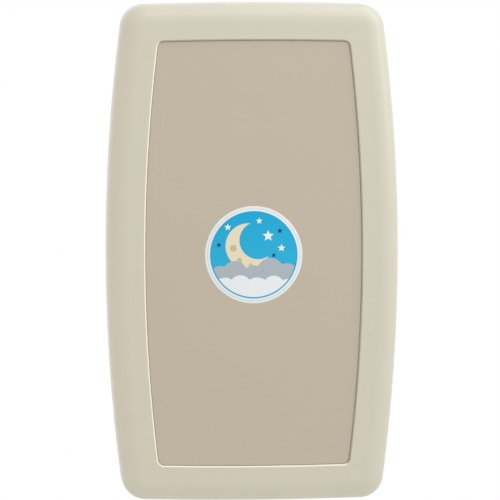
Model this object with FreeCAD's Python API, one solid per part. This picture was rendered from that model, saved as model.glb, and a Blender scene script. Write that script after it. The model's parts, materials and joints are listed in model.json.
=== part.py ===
import FreeCAD, Part
import math
import os

os.makedirs("parts", exist_ok=True)
V = FreeCAD.Vector

# Millimetres. X runs to the right of the closed front, Y towards the wall, Z up.
# The wall is the plane y = 0 and the origin is the middle of the wall bolt pattern.

# Closed unit
UNIT_HEIGHT = 900.0
UNIT_WIDTH = 527.0
SIDE_BOW = 32.0
END_BOW = 4.0
CORNER_RADIUS = 43.0
BED_DEPTH = 86.0
BASE_DEPTH = 45.0
PARTING_GAP = 2.0

# Mouldings
WALL = 4.0
FRONT_WALL = 7.5
EDGE_RADIUS = 34.0
FLANGE_THICK = 5.0
FLANGE_EDGE = 4.0
BASE_INSET = 6.0
BASE_EDGE = 8.0

# Front insert panel
PANEL_SIDE = 68.0
PANEL_END = 65.5
PANEL_CORNER = 11.0
PANEL_STEP = 3.2
PANEL_THICK = 2.0
PANEL_GAP = 0.8
LIP_RADIUS = 3.0

# Sleeping well
WELL_SIDE = 76.0
WELL_HEAD = 65.0
WELL_FOOT = 95.0
WELL_CORNER = 90.0
WELL_FLOOR_GAP = 2.0
WELL_FLOOR_RADIUS = 60.0
WELL_RIM = 9.0

# Flange screws
SCREW_INSET = 20.0
SCREW_RADIUS = 2.0
SCREW_HEAD_RADIUS = 4.2
SCREW_HEAD_HEIGHT = 2.4
SCREW_LENGTH = 14.0
BOSS_RADIUS = 6.0
BOSS_LENGTH = 30.0
BOSS_RIB = 4.0
SCREW_END_MARGIN = 120.0
HEAD_SCREW_X = 105.0

# Hinge
HINGE_BARREL = 32.0
HINGE_INSET = 13.0
COVER_WALL = 3.0
ROD_RADIUS = 5.0
RUNNING_CLEARANCE = 0.05
ARM_THICK = 5.0
ARM_BAR = 18.0
ARM_BOSS = 13.0
ARM_LEG_DEPTH = 16.0
ARM_LEG_HEIGHT = 95.0
ARM_CORNER = 5.0
ARM_BOLT_RADIUS = 3.0
ARM_BOLT_FIRST = 28.0
ARM_BOLT_PITCH = 48.0
SLOT_SIDE_CLEARANCE = 1.5
EAR_THICK = 3.0
EAR_GAP = 2.0
EAR_BOSS = 11.5
BUSH_RADIUS = 6.6
BUSH_COLLAR = 7.8
BRACKET_TOP = 64.0
BRACKET_BOTTOM = 15.0
BRACKET_PLATE = 3.0
RING_RADIUS = 7.5
RING_THICK = 1.5

# Wall fixing
BOLT_SIDE_MARGIN = 60.3
BOLT_SPACING_Z = 508.0
BOLT_HOLE_RADIUS = 4.5
STEEL = 3.0
CHANNEL_WIDTH = 34.0
CHANNEL_DEPTH = 18.0
CHANNEL_HEAD_MARGIN = 85.0
CHANNEL_FOOT_MARGIN = 45.0
CROSSBAR_HEIGHT = 40.0
CROSSBAR_HEAD_MARGIN = 105.0
CROSSBAR_FOOT_MARGIN = 90.0
BASE_SCREW_X = 120.0
BASE_BOSS_RADIUS = 8.0
BASE_SCREW_RECESS = 24.0
ACCESS_RADIUS = 11.0
CAP_LIP = 1.2
RIB_THICK = 3.0
RIB_HEIGHT = 8.0
RIB_END_GAP = 6.0

# Finger scoop and bumpers
SCOOP_WIDTH = 140.0
SCOOP_DROP = 32.0
SCOOP_DEPTH = 33.0
SCOOP_CORNER = 18.0
BUMPER_RADIUS = 9.0
BUMPER_PROUD = 1.7
BUMPER_STEM = 4.0
BUMPER_INSET = 45.0
BUMPER_HEAD_MARGIN = 80.0
BUMPER_FOOT_MARGIN = 300.0

# Counterbalance cylinder
CRANK_RADIUS = 18.0
STUD_RADIUS = 5.0
FOOT_GAP = 0.4
FOOT_RADIUS = 9.0
FOOT_THICK = 5.0
TUBE_RADIUS = 11.0
TUBE_WALL = 1.5
TUBE_CLEARANCE = 1.9
TUBE_RISE = 38.0
TUBE_LENGTH = 210.0
GAS_ROD_RADIUS = 4.0
GLAND_LENGTH = 12.0
PISTON_RISE = 10.0
PISTON_LENGTH = 12.0
CLAMP_LENGTH = 16.0
CLAMP_WALL = 3.5

# Liner dispenser
DISPENSER_HEAD_MARGIN = 215.0
DOOR_WIDTH = 270.0
DOOR_HEIGHT = 130.0
DOOR_THICK = 3.5
DOOR_GAP = 0.8
DOOR_CORNER = 8.0
KNUCKLE_RADIUS = 4.5
DOOR_PIN_RADIUS = 2.0
TRAY_WALL = 2.5
TRAY_DEPTH = 36.0
TRAY_FLANGE = 9.0
CHEEK_THICK = 2.5
CHEEK_DEPTH = 27.0
CHEEK_RADIUS = 112.0
LUG_RADIUS = 2.5
LUG_REACH = 45.0
LUG_ANGLE = 33.0
DOOR_TILT = 20.0
LINER_SLOT_LENGTH = 170.0
LINER_SLOT_HEIGHT = 22.0
LINER_SLOT_DROP = 13.0
PULL_RADIUS = 3.0
PULL_LENGTH = 60.0
CATCH_WIDTH = 24.0
CATCH_HEIGHT = 10.0
CATCH_GAP = 0.5
STRIKE_THICK = 1.2

# Bag hooks
HOOK_SIDE_MARGIN = 113.5
HOOK_DROP = 140.0
HOOK_WIDTH = 18.0
HOOK_BAR = 6.0
HOOK_REACH = 34.0
HOOK_RISE = 30.0
HOOK_BEND = 3.0
HOOK_TIP = 6.0
HOOK_EDGE = 1.5
HOOK_PAD_WIDTH = 30.0
HOOK_PAD_HEIGHT = 46.0
HOOK_PAD_THICK = 4.0
HOOK_PAD_CORNER = 6.0

# Safety strap and buckle
STRAP_RISE = 388.0
STRAP_WIDTH = 38.0
STRAP_THICK = 1.6
STRAP_ENTRY = 15.0
STRAP_SAG = 24.0
STRAP_FLAT = 40.0
STRAP_SLOT = 5.0
STRAP_LAY = 0.1
ANCHOR_RADIUS = 3.0
ANCHOR_LENGTH = 60.0
STRAP_TAIL = 110.0
STRAP_OVERLAP = 60.0
BUCKLE_LENGTH = 46.0
BUCKLE_PLATE = 2.0
BUCKLE_BAR = 8.0
BUCKLE_SLOT = 6.0
BUCKLE_EAR = 2.0
BUCKLE_SIDE_GAP = 1.0
BUCKLE_PIN_X = 3.0
BUCKLE_PIN_RADIUS = 2.0
BUCKLE_DRUM = 7.0
BUCKLE_BITE = 0.2
LEVER_LENGTH = 28.0
LEVER_THICK = 3.0

# Derived planes and centres
half_w = UNIT_WIDTH / 2
half_h = UNIT_HEIGHT / 2
side_r = (half_h**2 + SIDE_BOW**2) / (2 * SIDE_BOW)
end_half = half_w - SIDE_BOW
end_r = (end_half**2 + END_BOW**2) / (2 * END_BOW)
base_front = -BASE_DEPTH
bed_back = base_front - PARTING_GAP
shell_back = bed_back - FLANGE_THICK
bed_front = bed_back - BED_DEPTH
hinge_y = bed_back - HINGE_INSET
hinge_z = HINGE_BARREL - half_h
bolt_x = half_w - BOLT_SIDE_MARGIN
bolt_z = BOLT_SPACING_Z / 2
channel_top = half_h - CHANNEL_HEAD_MARGIN
channel_bottom = CHANNEL_FOOT_MARGIN - half_h
crossbar_top_z = half_h - CROSSBAR_HEAD_MARGIN
crossbar_bottom_z = CROSSBAR_FOOT_MARGIN - half_h
dispenser_z = half_h - DISPENSER_HEAD_MARGIN
hook_x = half_w - HOOK_SIDE_MARGIN
hook_z = dispenser_z - HOOK_DROP
strap_z = hinge_z + STRAP_RISE
tube_bottom = hinge_z + TUBE_RISE
tube_top = tube_bottom + TUBE_LENGTH


def box(x0, x1, y0, y1, z0, z1):
    return Part.makeBox(x1 - x0, y1 - y0, z1 - z0, V(x0, y0, z0))


def cyl_x(r, x0, x1, y, z):
    return Part.makeCylinder(r, x1 - x0, V(x0, y, z), V(1, 0, 0))


def cyl_y(r, y0, y1, x, z):
    return Part.makeCylinder(r, y1 - y0, V(x, y0, z), V(0, 1, 0))


def cyl_z(r, z0, z1, x, y):
    return Part.makeCylinder(r, z1 - z0, V(x, y, z0), V(0, 0, 1))


def plate_x(points, x0, x1):
    ring = Part.makePolygon([V(x0, y, z) for y, z in points + points[:1]])
    return Part.Face(ring).extrude(V(x1 - x0, 0, 0))


def plate_z(points, z0, z1):
    ring = Part.makePolygon([V(x, y, z0) for x, y in points + points[:1]])
    return Part.Face(ring).extrude(V(0, 0, z1 - z0))


def union(shapes):
    return shapes[0].multiFuse(shapes[1:]).removeSplitter()


def mirrored(shape):
    return shape.mirror(V(0, 0, 0), V(1, 0, 0))


def both_sides(shape):
    return [shape, mirrored(shape)]


def save(name, shape):
    shape.exportStep("parts/" + name + ".step")


def towards(centre, radius, point):
    dx = point[0] - centre[0]
    dz = point[1] - centre[1]
    d = math.hypot(dx, dz)
    return (centre[0] + dx / d * radius, centre[1] + dz / d * radius)


def crossing(c1, r1, c2, r2):
    # The crossing of two circles that lies furthest to the right.
    dx = c2[0] - c1[0]
    dz = c2[1] - c1[1]
    d = math.hypot(dx, dz)
    a = (r1**2 - r2**2 + d**2) / (2 * d)
    h = math.sqrt(r1**2 - a**2)
    mx = c1[0] + a * dx / d
    mz = c1[1] + a * dz / d
    return max((mx + h * dz / d, mz - h * dx / d), (mx - h * dz / d, mz + h * dx / d))


def arc(centre, radius, p, q, y):
    m = towards(centre, radius, ((p[0] + q[0]) / 2, (p[1] + q[1]) / 2))
    return Part.Arc(V(p[0], y, p[1]), V(m[0], y, m[1]), V(q[0], y, q[1])).toShape()


def barrel(y0, y1, side, top, bottom, corner):
    # A prism with the unit's outline, drawn in by the three margins.
    right = (half_w - side_r, 0)
    left = (-right[0], 0)
    up = (0, half_h - end_r)
    down = (0, end_r - half_h)
    high = crossing(right, side_r - side - corner, up, end_r - top - corner)
    low = crossing(right, side_r - side - corner, down, end_r - bottom - corner)
    a = towards(right, side_r - side, low)
    b = towards(right, side_r - side, high)
    c = towards(up, end_r - top, high)
    d = towards(down, end_r - bottom, low)
    a2, b2, c2, d2, high2, low2 = [(-p[0], p[1]) for p in (a, b, c, d, high, low)]
    edges = [
        arc(right, side_r - side, a, b, y0),
        arc(high, corner, b, c, y0),
        arc(up, end_r - top, c, c2, y0),
        arc(high2, corner, c2, b2, y0),
        arc(left, side_r - side, b2, a2, y0),
        arc(low2, corner, a2, d2, y0),
        arc(down, end_r - bottom, d2, d, y0),
        arc(low, corner, d, a, y0),
    ]
    return Part.Face(Part.Wire(edges)).extrude(V(0, y1 - y0, 0))


def inset_barrel(y0, y1, inset):
    return barrel(y0, y1, inset, inset, inset, CORNER_RADIUS - inset)


def side_x(z, inset):
    return half_w - side_r + math.sqrt((side_r - inset) ** 2 - z**2)


def top_z(x, inset):
    return half_h - end_r + math.sqrt((end_r - inset) ** 2 - x**2)


def rounded_at(shape, radius, y, limit):
    # Rounds the edges that lie in the plane y and inside the limiting shape's box.
    room = limit.BoundBox
    room.enlarge(0.1)
    chosen = []
    for e in shape.Edges:
        flat = abs(e.BoundBox.YMin - y) < 1e-4 and abs(e.BoundBox.YMax - y) < 1e-4
        if flat and room.isInside(e.BoundBox):
            chosen.append(e)
    return shape.makeFillet(radius, chosen)


def rounded_along(shape, radius, axis, keep):
    # Rounds the straight edges that run along an axis and pass the test on their middle.
    chosen = []
    for e in shape.Edges:
        p, q = e.Vertexes[0].Point, e.Vertexes[-1].Point
        run = q - p
        if run.Length > 1e-6 and abs(abs(run.dot(axis)) - run.Length) < 1e-6 and keep((p + q) * 0.5):
            chosen.append(e)
    return shape.makeFillet(radius, chosen)


def anywhere(point):
    return True


def at_corner(y, z):
    # A test for the edge that passes through one corner of a side view.
    return lambda p: math.hypot(p.y - y, p.z - z) < 1e-3


# Flange screws: along both sides, across the head and on the clamps of the cylinder
tube_y = hinge_y - CRANK_RADIUS * (1 + math.sqrt(0.5)) / 2
arm_x = bolt_x - CHANNEL_WIDTH / 2 - ARM_THICK / 2
ear_out = arm_x + ARM_THICK / 2 + EAR_GAP + EAR_THICK
tube_beside_well = side_x(tube_top, WELL_SIDE - WALL) + TUBE_CLEARANCE + TUBE_RADIUS
tube_x = max(tube_beside_well, ear_out + FOOT_RADIUS + RUNNING_CLEARANCE)
clamp_spots = []
for share in (0.2, 0.8):
    clamp_spots.append((-tube_x, tube_bottom + share * TUBE_LENGTH))
side_screw_zs = [share * (half_h - SCREW_END_MARGIN) for share in (-1, -1 / 3, 1 / 3, 1)]
boss_spots = [(HEAD_SCREW_X, top_z(HEAD_SCREW_X, SCREW_INSET))]
boss_spots += [(side_x(z, SCREW_INSET), z) for z in side_screw_zs]
boss_spots += [(-x, z) for x, z in boss_spots]
bracket_spots = []
for sign in (-1, 1):
    for share in (0.45, 0.85):
        rise = BRACKET_BOTTOM + share * (BRACKET_TOP - BRACKET_BOTTOM)
        bracket_spots.append((sign * arm_x, hinge_z + rise))
screw_spots = boss_spots + clamp_spots + bracket_spots
screw_end = bed_back - SCREW_LENGTH
head_y = bed_back - SCREW_HEAD_HEIGHT
screws = []
for x, z in screw_spots:
    head = cyl_y(SCREW_HEAD_RADIUS, head_y, bed_back, x, z)
    head = head.cut(cyl_y(SCREW_RADIUS * 0.8, bed_back - SCREW_HEAD_HEIGHT / 2, bed_back, x, z))
    screws.append(union([head, cyl_y(SCREW_RADIUS, screw_end, head_y, x, z)]))
save("bed_screws", Part.makeCompound(screws))
screw_shanks = [cyl_y(SCREW_RADIUS, screw_end, bed_back, x, z) for x, z in screw_spots]
screw_seats = [cyl_y(SCREW_HEAD_RADIUS, head_y, bed_back, x, z) for x, z in screw_spots]

# Slots that let the fixed hinge arms swing through the moving bed
slot_half = ARM_THICK / 2 + SLOT_SIDE_CLEARANCE
slot_reach = ARM_BOSS - 2 * RUNNING_CLEARANCE
arm_slots = []
for sign in (-1, 1):
    x0 = sign * arm_x - slot_half
    x1 = sign * arm_x + slot_half
    arm_slots.append(box(x0, x1, hinge_y - slot_reach, 0, -half_h, hinge_z + slot_reach))

# Bed shell: hollow moulding with a soft front edge, a shallow recess and screw bosses
shell_outer = inset_barrel(shell_back, bed_front, 0)
shell_outer = rounded_at(shell_outer, EDGE_RADIUS, bed_front, shell_outer)
hollow_front = bed_front + FRONT_WALL
shell_hollow = inset_barrel(shell_back, hollow_front, WALL)
shell_hollow = rounded_at(shell_hollow, EDGE_RADIUS - WALL, hollow_front, shell_hollow)
panel_front = bed_front + PANEL_STEP
panel_back = panel_front + PANEL_THICK
recess = barrel(bed_front, panel_back, PANEL_SIDE, PANEL_END, PANEL_END, PANEL_CORNER)
bed_shell = shell_outer.cut(shell_hollow).cut(recess)
bed_shell = rounded_at(bed_shell, LIP_RADIUS, bed_front, recess)
boss_end = shell_back - BOSS_LENGTH
bosses = [cyl_y(BOSS_RADIUS, boss_end, shell_back, x, z) for x, z in boss_spots]
for z in side_screw_zs:
    x0 = side_x(z, SCREW_INSET)
    rib = box(x0, side_x(z, WALL / 2), boss_end, shell_back, z - BOSS_RIB / 2, z + BOSS_RIB / 2)
    bosses += both_sides(rib)
rib_x0 = HEAD_SCREW_X - BOSS_RIB / 2
rib_z0 = top_z(HEAD_SCREW_X, SCREW_INSET)
rib = box(rib_x0, rib_x0 + BOSS_RIB, boss_end, shell_back, rib_z0, top_z(HEAD_SCREW_X, WALL / 2))
bosses += both_sides(rib)
bed_shell = union([bed_shell] + bosses).cut(screw_shanks + arm_slots)
save("bed_shell", bed_shell)

# Front panel: insert set back from the front of the shell
front_panel = barrel(
    panel_front,
    panel_back,
    PANEL_SIDE + PANEL_GAP,
    PANEL_END + PANEL_GAP,
    PANEL_END + PANEL_GAP,
    PANEL_CORNER - PANEL_GAP,
)
save("front_panel", front_panel)


def well(depth, grow):
    form = barrel(
        bed_back,
        bed_back - depth,
        WELL_SIDE - grow,
        WELL_HEAD - grow,
        WELL_FOOT - grow,
        WELL_CORNER + grow,
    )
    return rounded_at(form, WELL_FLOOR_RADIUS + grow, bed_back - depth, form)


# Bed pan: flange and concave well, with slots for the strap
well_depth = BED_DEPTH - FRONT_WALL - WELL_FLOOR_GAP - WALL
well_inside = well(well_depth, 0)
well_outside = well(well_depth + WALL, WALL)
flange = inset_barrel(bed_back, shell_back, 0)
flange = rounded_at(flange, FLANGE_EDGE, bed_back, flange)
bed_pan = union([flange, well_outside]).cut(well_inside)
bed_pan = rounded_at(bed_pan, WELL_RIM, bed_back, well_inside)
strap_y = bed_back - STRAP_ENTRY
skin_x = side_x(strap_z, WELL_SIDE - WALL)
slot_z = STRAP_WIDTH / 2 + STRAP_SLOT / 2
strap_slot = box(
    skin_x - 3 * WALL,
    skin_x + WALL,
    strap_y - STRAP_SLOT / 2,
    strap_y + STRAP_SLOT / 2,
    strap_z - slot_z,
    strap_z + slot_z,
)
bed_pan = bed_pan.cut(both_sides(strap_slot) + arm_slots + screw_shanks + screw_seats)
save("bed_pan", bed_pan)

# Hinge cover: half-round guard on the back of the flange, turning in the base's trough
cover_x = half_w
cover = cyl_x(HINGE_BARREL, -cover_x, cover_x, hinge_y, hinge_z)
cover = cover.common(inset_barrel(bed_back, 0, BASE_INSET))
cover_hollow = cyl_x(HINGE_BARREL - COVER_WALL, -cover_x, cover_x, hinge_y, hinge_z)
cover_hollow = cover_hollow.common(inset_barrel(bed_back, 0, BASE_INSET + COVER_WALL))
save("hinge_cover", cover.cut([cover_hollow] + arm_slots))

# Uprights: steel channels with the wall bolt holes
channel_in = bolt_x - CHANNEL_WIDTH / 2
channel_out = bolt_x + CHANNEL_WIDTH / 2
channel = box(channel_in, channel_out, -CHANNEL_DEPTH, 0, channel_bottom, channel_top)
channel = channel.cut(
    box(channel_in + STEEL, channel_out - STEEL, -CHANNEL_DEPTH, -STEEL, channel_bottom, channel_top)
)
wall_holes = [cyl_y(BOLT_HOLE_RADIUS, -STEEL, 0, bolt_x, z) for z in (-bolt_z, bolt_z)]
arm_bolt_y = -(STEEL + ARM_LEG_DEPTH / 2)
arm_bolt_zs = [hinge_z + ARM_BOLT_FIRST + i * ARM_BOLT_PITCH for i in (0, 1)]
arm_bolt_holes = []
for z in arm_bolt_zs:
    arm_bolt_holes.append(cyl_x(ARM_BOLT_RADIUS, channel_in - ARM_THICK, channel_in + STEEL, arm_bolt_y, z))
upright = channel.cut(wall_holes + arm_bolt_holes)
save("mounting_upright_right", upright)
save("mounting_upright_left", mirrored(upright))

# Crossbars: steel flats between the uprights
for name, z in (("top", crossbar_top_z), ("bottom", crossbar_bottom_z)):
    bar = box(-channel_in, channel_in, -STEEL, 0, z - CROSSBAR_HEIGHT / 2, z + CROSSBAR_HEIGHT / 2)
    hole = cyl_y(SCREW_RADIUS, -STEEL, 0, BASE_SCREW_X, z)
    save("mounting_crossbar_" + name, bar.cut(both_sides(hole)))

# Base screws: through deep bosses of the base into the crossbars
base_screw_y = base_front + BASE_SCREW_RECESS
base_spots = []
for z in (crossbar_bottom_z, crossbar_top_z):
    base_spots += [(-BASE_SCREW_X, z), (BASE_SCREW_X, z)]
base_screws = []
base_bosses = []
base_screw_holes = []
for x, z in base_spots:
    head = cyl_y(SCREW_HEAD_RADIUS, base_screw_y - SCREW_HEAD_HEIGHT, base_screw_y, x, z)
    base_screws.append(union([head, cyl_y(SCREW_RADIUS, base_screw_y, 0, x, z)]))
    base_bosses.append(cyl_y(BASE_BOSS_RADIUS, base_front, -STEEL, x, z))
    base_screw_holes.append(cyl_y(SCREW_RADIUS, base_screw_y, -STEEL, x, z))
    base_screw_holes.append(cyl_y(SCREW_HEAD_RADIUS, base_front, base_screw_y, x, z))
save("base_screws", Part.makeCompound(base_screws))


def trough(grow):
    # The room for the hinge barrel: a half-round, open downwards.
    r = HINGE_BARREL + PARTING_GAP + grow
    below = box(-half_w, half_w, hinge_y - r, hinge_y + r, -half_h, hinge_z)
    return union([cyl_x(r, -half_w, half_w, hinge_y, hinge_z), below])


def scoop(grow):
    # The room for the hand at the head of the base.
    x = SCOOP_WIDTH / 2 + grow
    low = half_h - SCOOP_DROP - grow
    form = box(-x, x, base_front, base_front + SCOOP_DEPTH + grow, low, half_h)
    return rounded_along(form, SCOOP_CORNER + grow, V(0, 1, 0), lambda p: p.z < half_h - 1)


# Base shell: open-backed moulding with a trough for the hinge, low ribs, bosses and openings
base_outer = inset_barrel(base_front, 0, BASE_INSET)
base_outer = rounded_at(base_outer, BASE_EDGE, base_front, base_outer)
wall_back = base_front + WALL
base_hollow = inset_barrel(wall_back, 0, BASE_INSET + WALL)
base_hollow = rounded_at(base_hollow, BASE_EDGE - WALL, wall_back, base_hollow)
base_hollow = base_hollow.cut(trough(WALL))
base_shell = base_outer.cut([trough(0), scoop(WALL)]).cut(base_hollow)
rib_low = crossbar_bottom_z + CROSSBAR_HEIGHT
rib_high = dispenser_z - DOOR_HEIGHT / 2 - 2 * TRAY_FLANGE
rib_x = channel_in - ARM_THICK - RIB_END_GAP
rib_back = wall_back + RIB_HEIGHT
ribs = []
for share in (-0.5, 0.0, 0.5):
    x = share * rib_x
    ribs.append(box(x - RIB_THICK / 2, x + RIB_THICK / 2, wall_back, rib_back, rib_low, rib_high))
for share in (0.0, 0.5, 1.0):
    z = rib_low + share * (rib_high - rib_low)
    ribs.append(box(-rib_x, rib_x, wall_back, rib_back, z - RIB_THICK / 2, z + RIB_THICK / 2))
base_shell = union([base_shell] + ribs + base_bosses)
door_half = DOOR_WIDTH / 2
door_low = dispenser_z - DOOR_HEIGHT / 2
door_high = dispenser_z + DOOR_HEIGHT / 2


def door_blank(gap, y0, y1):
    blank = box(-door_half - gap, door_half + gap, y0, y1, door_low - gap, door_high + gap)
    return rounded_along(blank, DOOR_CORNER + gap, V(0, 1, 0), lambda p: p.z > dispenser_z)


door_opening = door_blank(DOOR_GAP, base_front, wall_back)
knuckle_y = base_front + KNUCKLE_RADIUS
knuckle_z = door_low + KNUCKLE_RADIUS
tray_in = door_half + DOOR_GAP
tray_out = tray_in + TRAY_WALL
pin_hole = cyl_x(DOOR_PIN_RADIUS + RUNNING_CLEARANCE, tray_in, tray_out, knuckle_y, knuckle_z)
access_spots = []
for z in (-bolt_z, bolt_z):
    access_spots += [(-bolt_x, z), (bolt_x, z)]
access_holes = [cyl_y(ACCESS_RADIUS, base_front, wall_back, x, z) for x, z in access_spots]
bumper_spots = []
for z in (BUMPER_FOOT_MARGIN - half_h, half_h - BUMPER_HEAD_MARGIN):
    x = side_x(z, BUMPER_INSET)
    bumper_spots += [(-x, z), (x, z)]
bumper_holes = [cyl_y(BUMPER_STEM, base_front, wall_back, x, z) for x, z in bumper_spots]
hook_screw_zs = [hook_z + share * HOOK_PAD_HEIGHT for share in (0.12, 0.36)]
hook_screw_end = wall_back + WALL
hook_holes = [cyl_y(SCREW_RADIUS, base_front, wall_back, hook_x, z) for z in hook_screw_zs]
hook_holes += [mirrored(h) for h in hook_holes]
leg_front = -(STEEL + ARM_LEG_DEPTH)
window_low = hinge_z - ARM_BAR / 2 - SLOT_SIDE_CLEARANCE
window_high = hinge_z + ARM_BAR / 2 + SLOT_SIDE_CLEARANCE
trough_back = hinge_y + HINGE_BARREL + PARTING_GAP + WALL
arm_window = union(
    [
        box(arm_x - slot_half, arm_x + slot_half, hinge_y, trough_back, window_low, window_high),
        box(
            arm_x - slot_half,
            arm_x + slot_half,
            leg_front - SLOT_SIDE_CLEARANCE,
            0,
            window_low,
            hinge_z + ARM_LEG_HEIGHT + SLOT_SIDE_CLEARANCE,
        ),
    ]
)
base_shell = base_shell.cut(
    [door_opening]
    + access_holes
    + bumper_holes
    + hook_holes
    + base_screw_holes
    + both_sides(arm_window)
    + both_sides(pin_hole)
)
save("base_shell", base_shell)

# Hand cup: insert that lines the scoop at the head of the base
save("hand_cup", base_outer.common(scoop(WALL)).cut(scoop(0)))

# Plugs in the access holes, flush in front and held by a lip behind the wall
caps = []
for x, z in access_spots:
    plug = cyl_y(ACCESS_RADIUS, base_front, wall_back, x, z)
    lip = cyl_y(ACCESS_RADIUS + CAP_LIP, wall_back, wall_back + CAP_LIP, x, z)
    caps.append(union([plug, lip]))
save("mounting_hole_caps", Part.makeCompound(caps))

# Rubber bumpers on which the closed bed comes to rest
bumpers = []
for x, z in bumper_spots:
    pad = cyl_y(BUMPER_RADIUS, base_front - BUMPER_PROUD, base_front, x, z)
    bumpers.append(union([pad, cyl_y(BUMPER_STEM, base_front, wall_back, x, z)]))
save("closing_bumpers", Part.makeCompound(bumpers))

# Hinge arms: steel plates from the uprights to the hinge axis; the left one also carries the crank
arm_in = channel_in - ARM_THICK
arm_leg = box(arm_in, channel_in, leg_front, -STEEL, hinge_z - ARM_BAR / 2, hinge_z + ARM_LEG_HEIGHT)
arm_leg = rounded_along(arm_leg, ARM_CORNER, V(1, 0, 0), lambda p: p.z > hinge_z)
arm_bar = box(arm_in, channel_in, hinge_y, leg_front, hinge_z - ARM_BAR / 2, hinge_z + ARM_BAR / 2)
arm_boss = cyl_x(ARM_BOSS, arm_in, channel_in, hinge_y, hinge_z)
rod_hole = cyl_x(ROD_RADIUS, arm_in, channel_in, hinge_y, hinge_z)
arm = union([arm_leg, arm_bar, arm_boss]).cut([rod_hole] + arm_bolt_holes)
save("hinge_arm_right", arm)
crank_y = hinge_y - CRANK_RADIUS * math.sqrt(0.5)
crank_z = hinge_z - CRANK_RADIUS * math.sqrt(0.5)
crank_boss = cyl_x(STUD_RADIUS * 1.5, -channel_in, -arm_in, crank_y, crank_z)
crank_hole = cyl_x(STUD_RADIUS, -channel_in, -arm_in, crank_y, crank_z)
left_rod_hole = mirrored(rod_hole)
save("hinge_arm_left", union([mirrored(arm), crank_boss]).cut([crank_hole, left_rod_hole]))

# Bolts and nuts between arms and uprights
arm_bolts = []
for z in arm_bolt_zs:
    head = cyl_x(2 * ARM_BOLT_RADIUS, arm_in - ARM_BOLT_RADIUS, arm_in, arm_bolt_y, z)
    shank = cyl_x(ARM_BOLT_RADIUS, arm_in, channel_in + STEEL, arm_bolt_y, z)
    nut_end = channel_in + STEEL + 1.5 * ARM_BOLT_RADIUS
    nut = cyl_x(1.8 * ARM_BOLT_RADIUS, channel_in + STEEL, nut_end, arm_bolt_y, z)
    arm_bolts += both_sides(union([head, shank, nut]))
save("hinge_arm_bolts", Part.makeCompound(arm_bolts))

# Bed brackets: a plate on the flange and two flat-backed ears, one on each side of the arm
plate_front = shell_back - BRACKET_PLATE
ear_spots = [
    (arm_in - EAR_GAP - EAR_THICK, arm_in - EAR_GAP),
    (ear_out - EAR_THICK, ear_out),
]
bracket_half = ARM_THICK / 2 + EAR_GAP + 2 * EAR_THICK
bracket_plate = box(
    arm_x - bracket_half,
    arm_x + bracket_half,
    plate_front,
    shell_back,
    hinge_z + BRACKET_BOTTOM,
    hinge_z + BRACKET_TOP,
)
bracket = [bracket_plate]
bores = []
bushes = []
for i, (x0, x1) in enumerate(ear_spots):
    ear = plate_x(
        [
            (shell_back, hinge_z + BRACKET_BOTTOM),
            (shell_back, hinge_z + BRACKET_TOP),
            (hinge_y, hinge_z + BRACKET_TOP),
            (hinge_y - ROD_RADIUS, hinge_z + EAR_BOSS),
            (hinge_y - ROD_RADIUS, hinge_z),
            (hinge_y + ROD_RADIUS, hinge_z),
        ],
        x0,
        x1,
    )
    bracket += [ear, cyl_x(EAR_BOSS, x0, x1, hinge_y, hinge_z)]
    bores.append(cyl_x(BUSH_RADIUS, x0, x1, hinge_y, hinge_z))
    collar = (x1, x1 + EAR_GAP * 0.9) if i == 0 else (x0 - EAR_GAP * 0.9, x0)
    bush = union(
        [
            cyl_x(BUSH_RADIUS, x0, x1, hinge_y, hinge_z),
            cyl_x(BUSH_COLLAR, collar[0], collar[1], hinge_y, hinge_z),
        ]
    )
    running = ROD_RADIUS + RUNNING_CLEARANCE
    bushes += both_sides(bush.cut(cyl_x(running, x0 - EAR_GAP, x1 + EAR_GAP, hinge_y, hinge_z)))
bracket_room = box(0, half_w, bed_front, shell_back, -half_h, half_h)
bracket = union(bracket).common(bracket_room).cut(bores + screw_shanks)
save("hinge_bracket_right", bracket)
save("hinge_bracket_left", mirrored(bracket))
save("hinge_bushes", Part.makeCompound(bushes))

# Hinge rod, pressed into the arms, with a retaining ring near each end
ring_x = ear_spots[1][1] + RING_THICK / 2
rod_end = ring_x + 2 * RING_THICK
save("hinge_rod", cyl_x(ROD_RADIUS, -rod_end, rod_end, hinge_y, hinge_z))
ring = cyl_x(RING_RADIUS, ring_x, ring_x + RING_THICK, hinge_y, hinge_z)
ring = ring.cut(cyl_x(ROD_RADIUS, ring_x, ring_x + RING_THICK, hinge_y, hinge_z))
save("hinge_rod_rings", Part.makeCompound(both_sides(ring)))

# Crank stud on the left arm, on which the foot of the gas rod bears
stud_end = -(tube_x + FOOT_RADIUS)
save("cam_stud", cyl_x(STUD_RADIUS, stud_end, -arm_in, crank_y, crank_z))

# Gas cylinder: tube with a closed head, gland below, held to the flange by two clamps
bore_r = TUBE_RADIUS - TUBE_WALL
tube = cyl_z(TUBE_RADIUS, tube_bottom, tube_top, -tube_x, tube_y)
tube = tube.cut(cyl_z(bore_r, tube_bottom, tube_top - 2 * TUBE_WALL, -tube_x, tube_y))
save("gas_cylinder", tube)
gland = cyl_z(bore_r, tube_bottom, tube_bottom + GLAND_LENGTH, -tube_x, tube_y)
rod_way = cyl_z(
    GAS_ROD_RADIUS + RUNNING_CLEARANCE, tube_bottom, tube_bottom + GLAND_LENGTH, -tube_x, tube_y
)
save("cylinder_gland", gland.cut(rod_way))
clamps = []
for x, z in clamp_spots:
    low = z - CLAMP_LENGTH / 2
    high = z + CLAMP_LENGTH / 2
    saddle = box(x - TUBE_RADIUS, x + TUBE_RADIUS, tube_y, shell_back, low, high)
    band = cyl_z(TUBE_RADIUS + CLAMP_WALL, low, high, x, tube_y)
    clamps.append(union([saddle, band]).cut(cyl_z(TUBE_RADIUS, low, high, x, tube_y)))
save("cylinder_clamps", Part.makeCompound([c.cut(screw_shanks) for c in clamps]))

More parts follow.
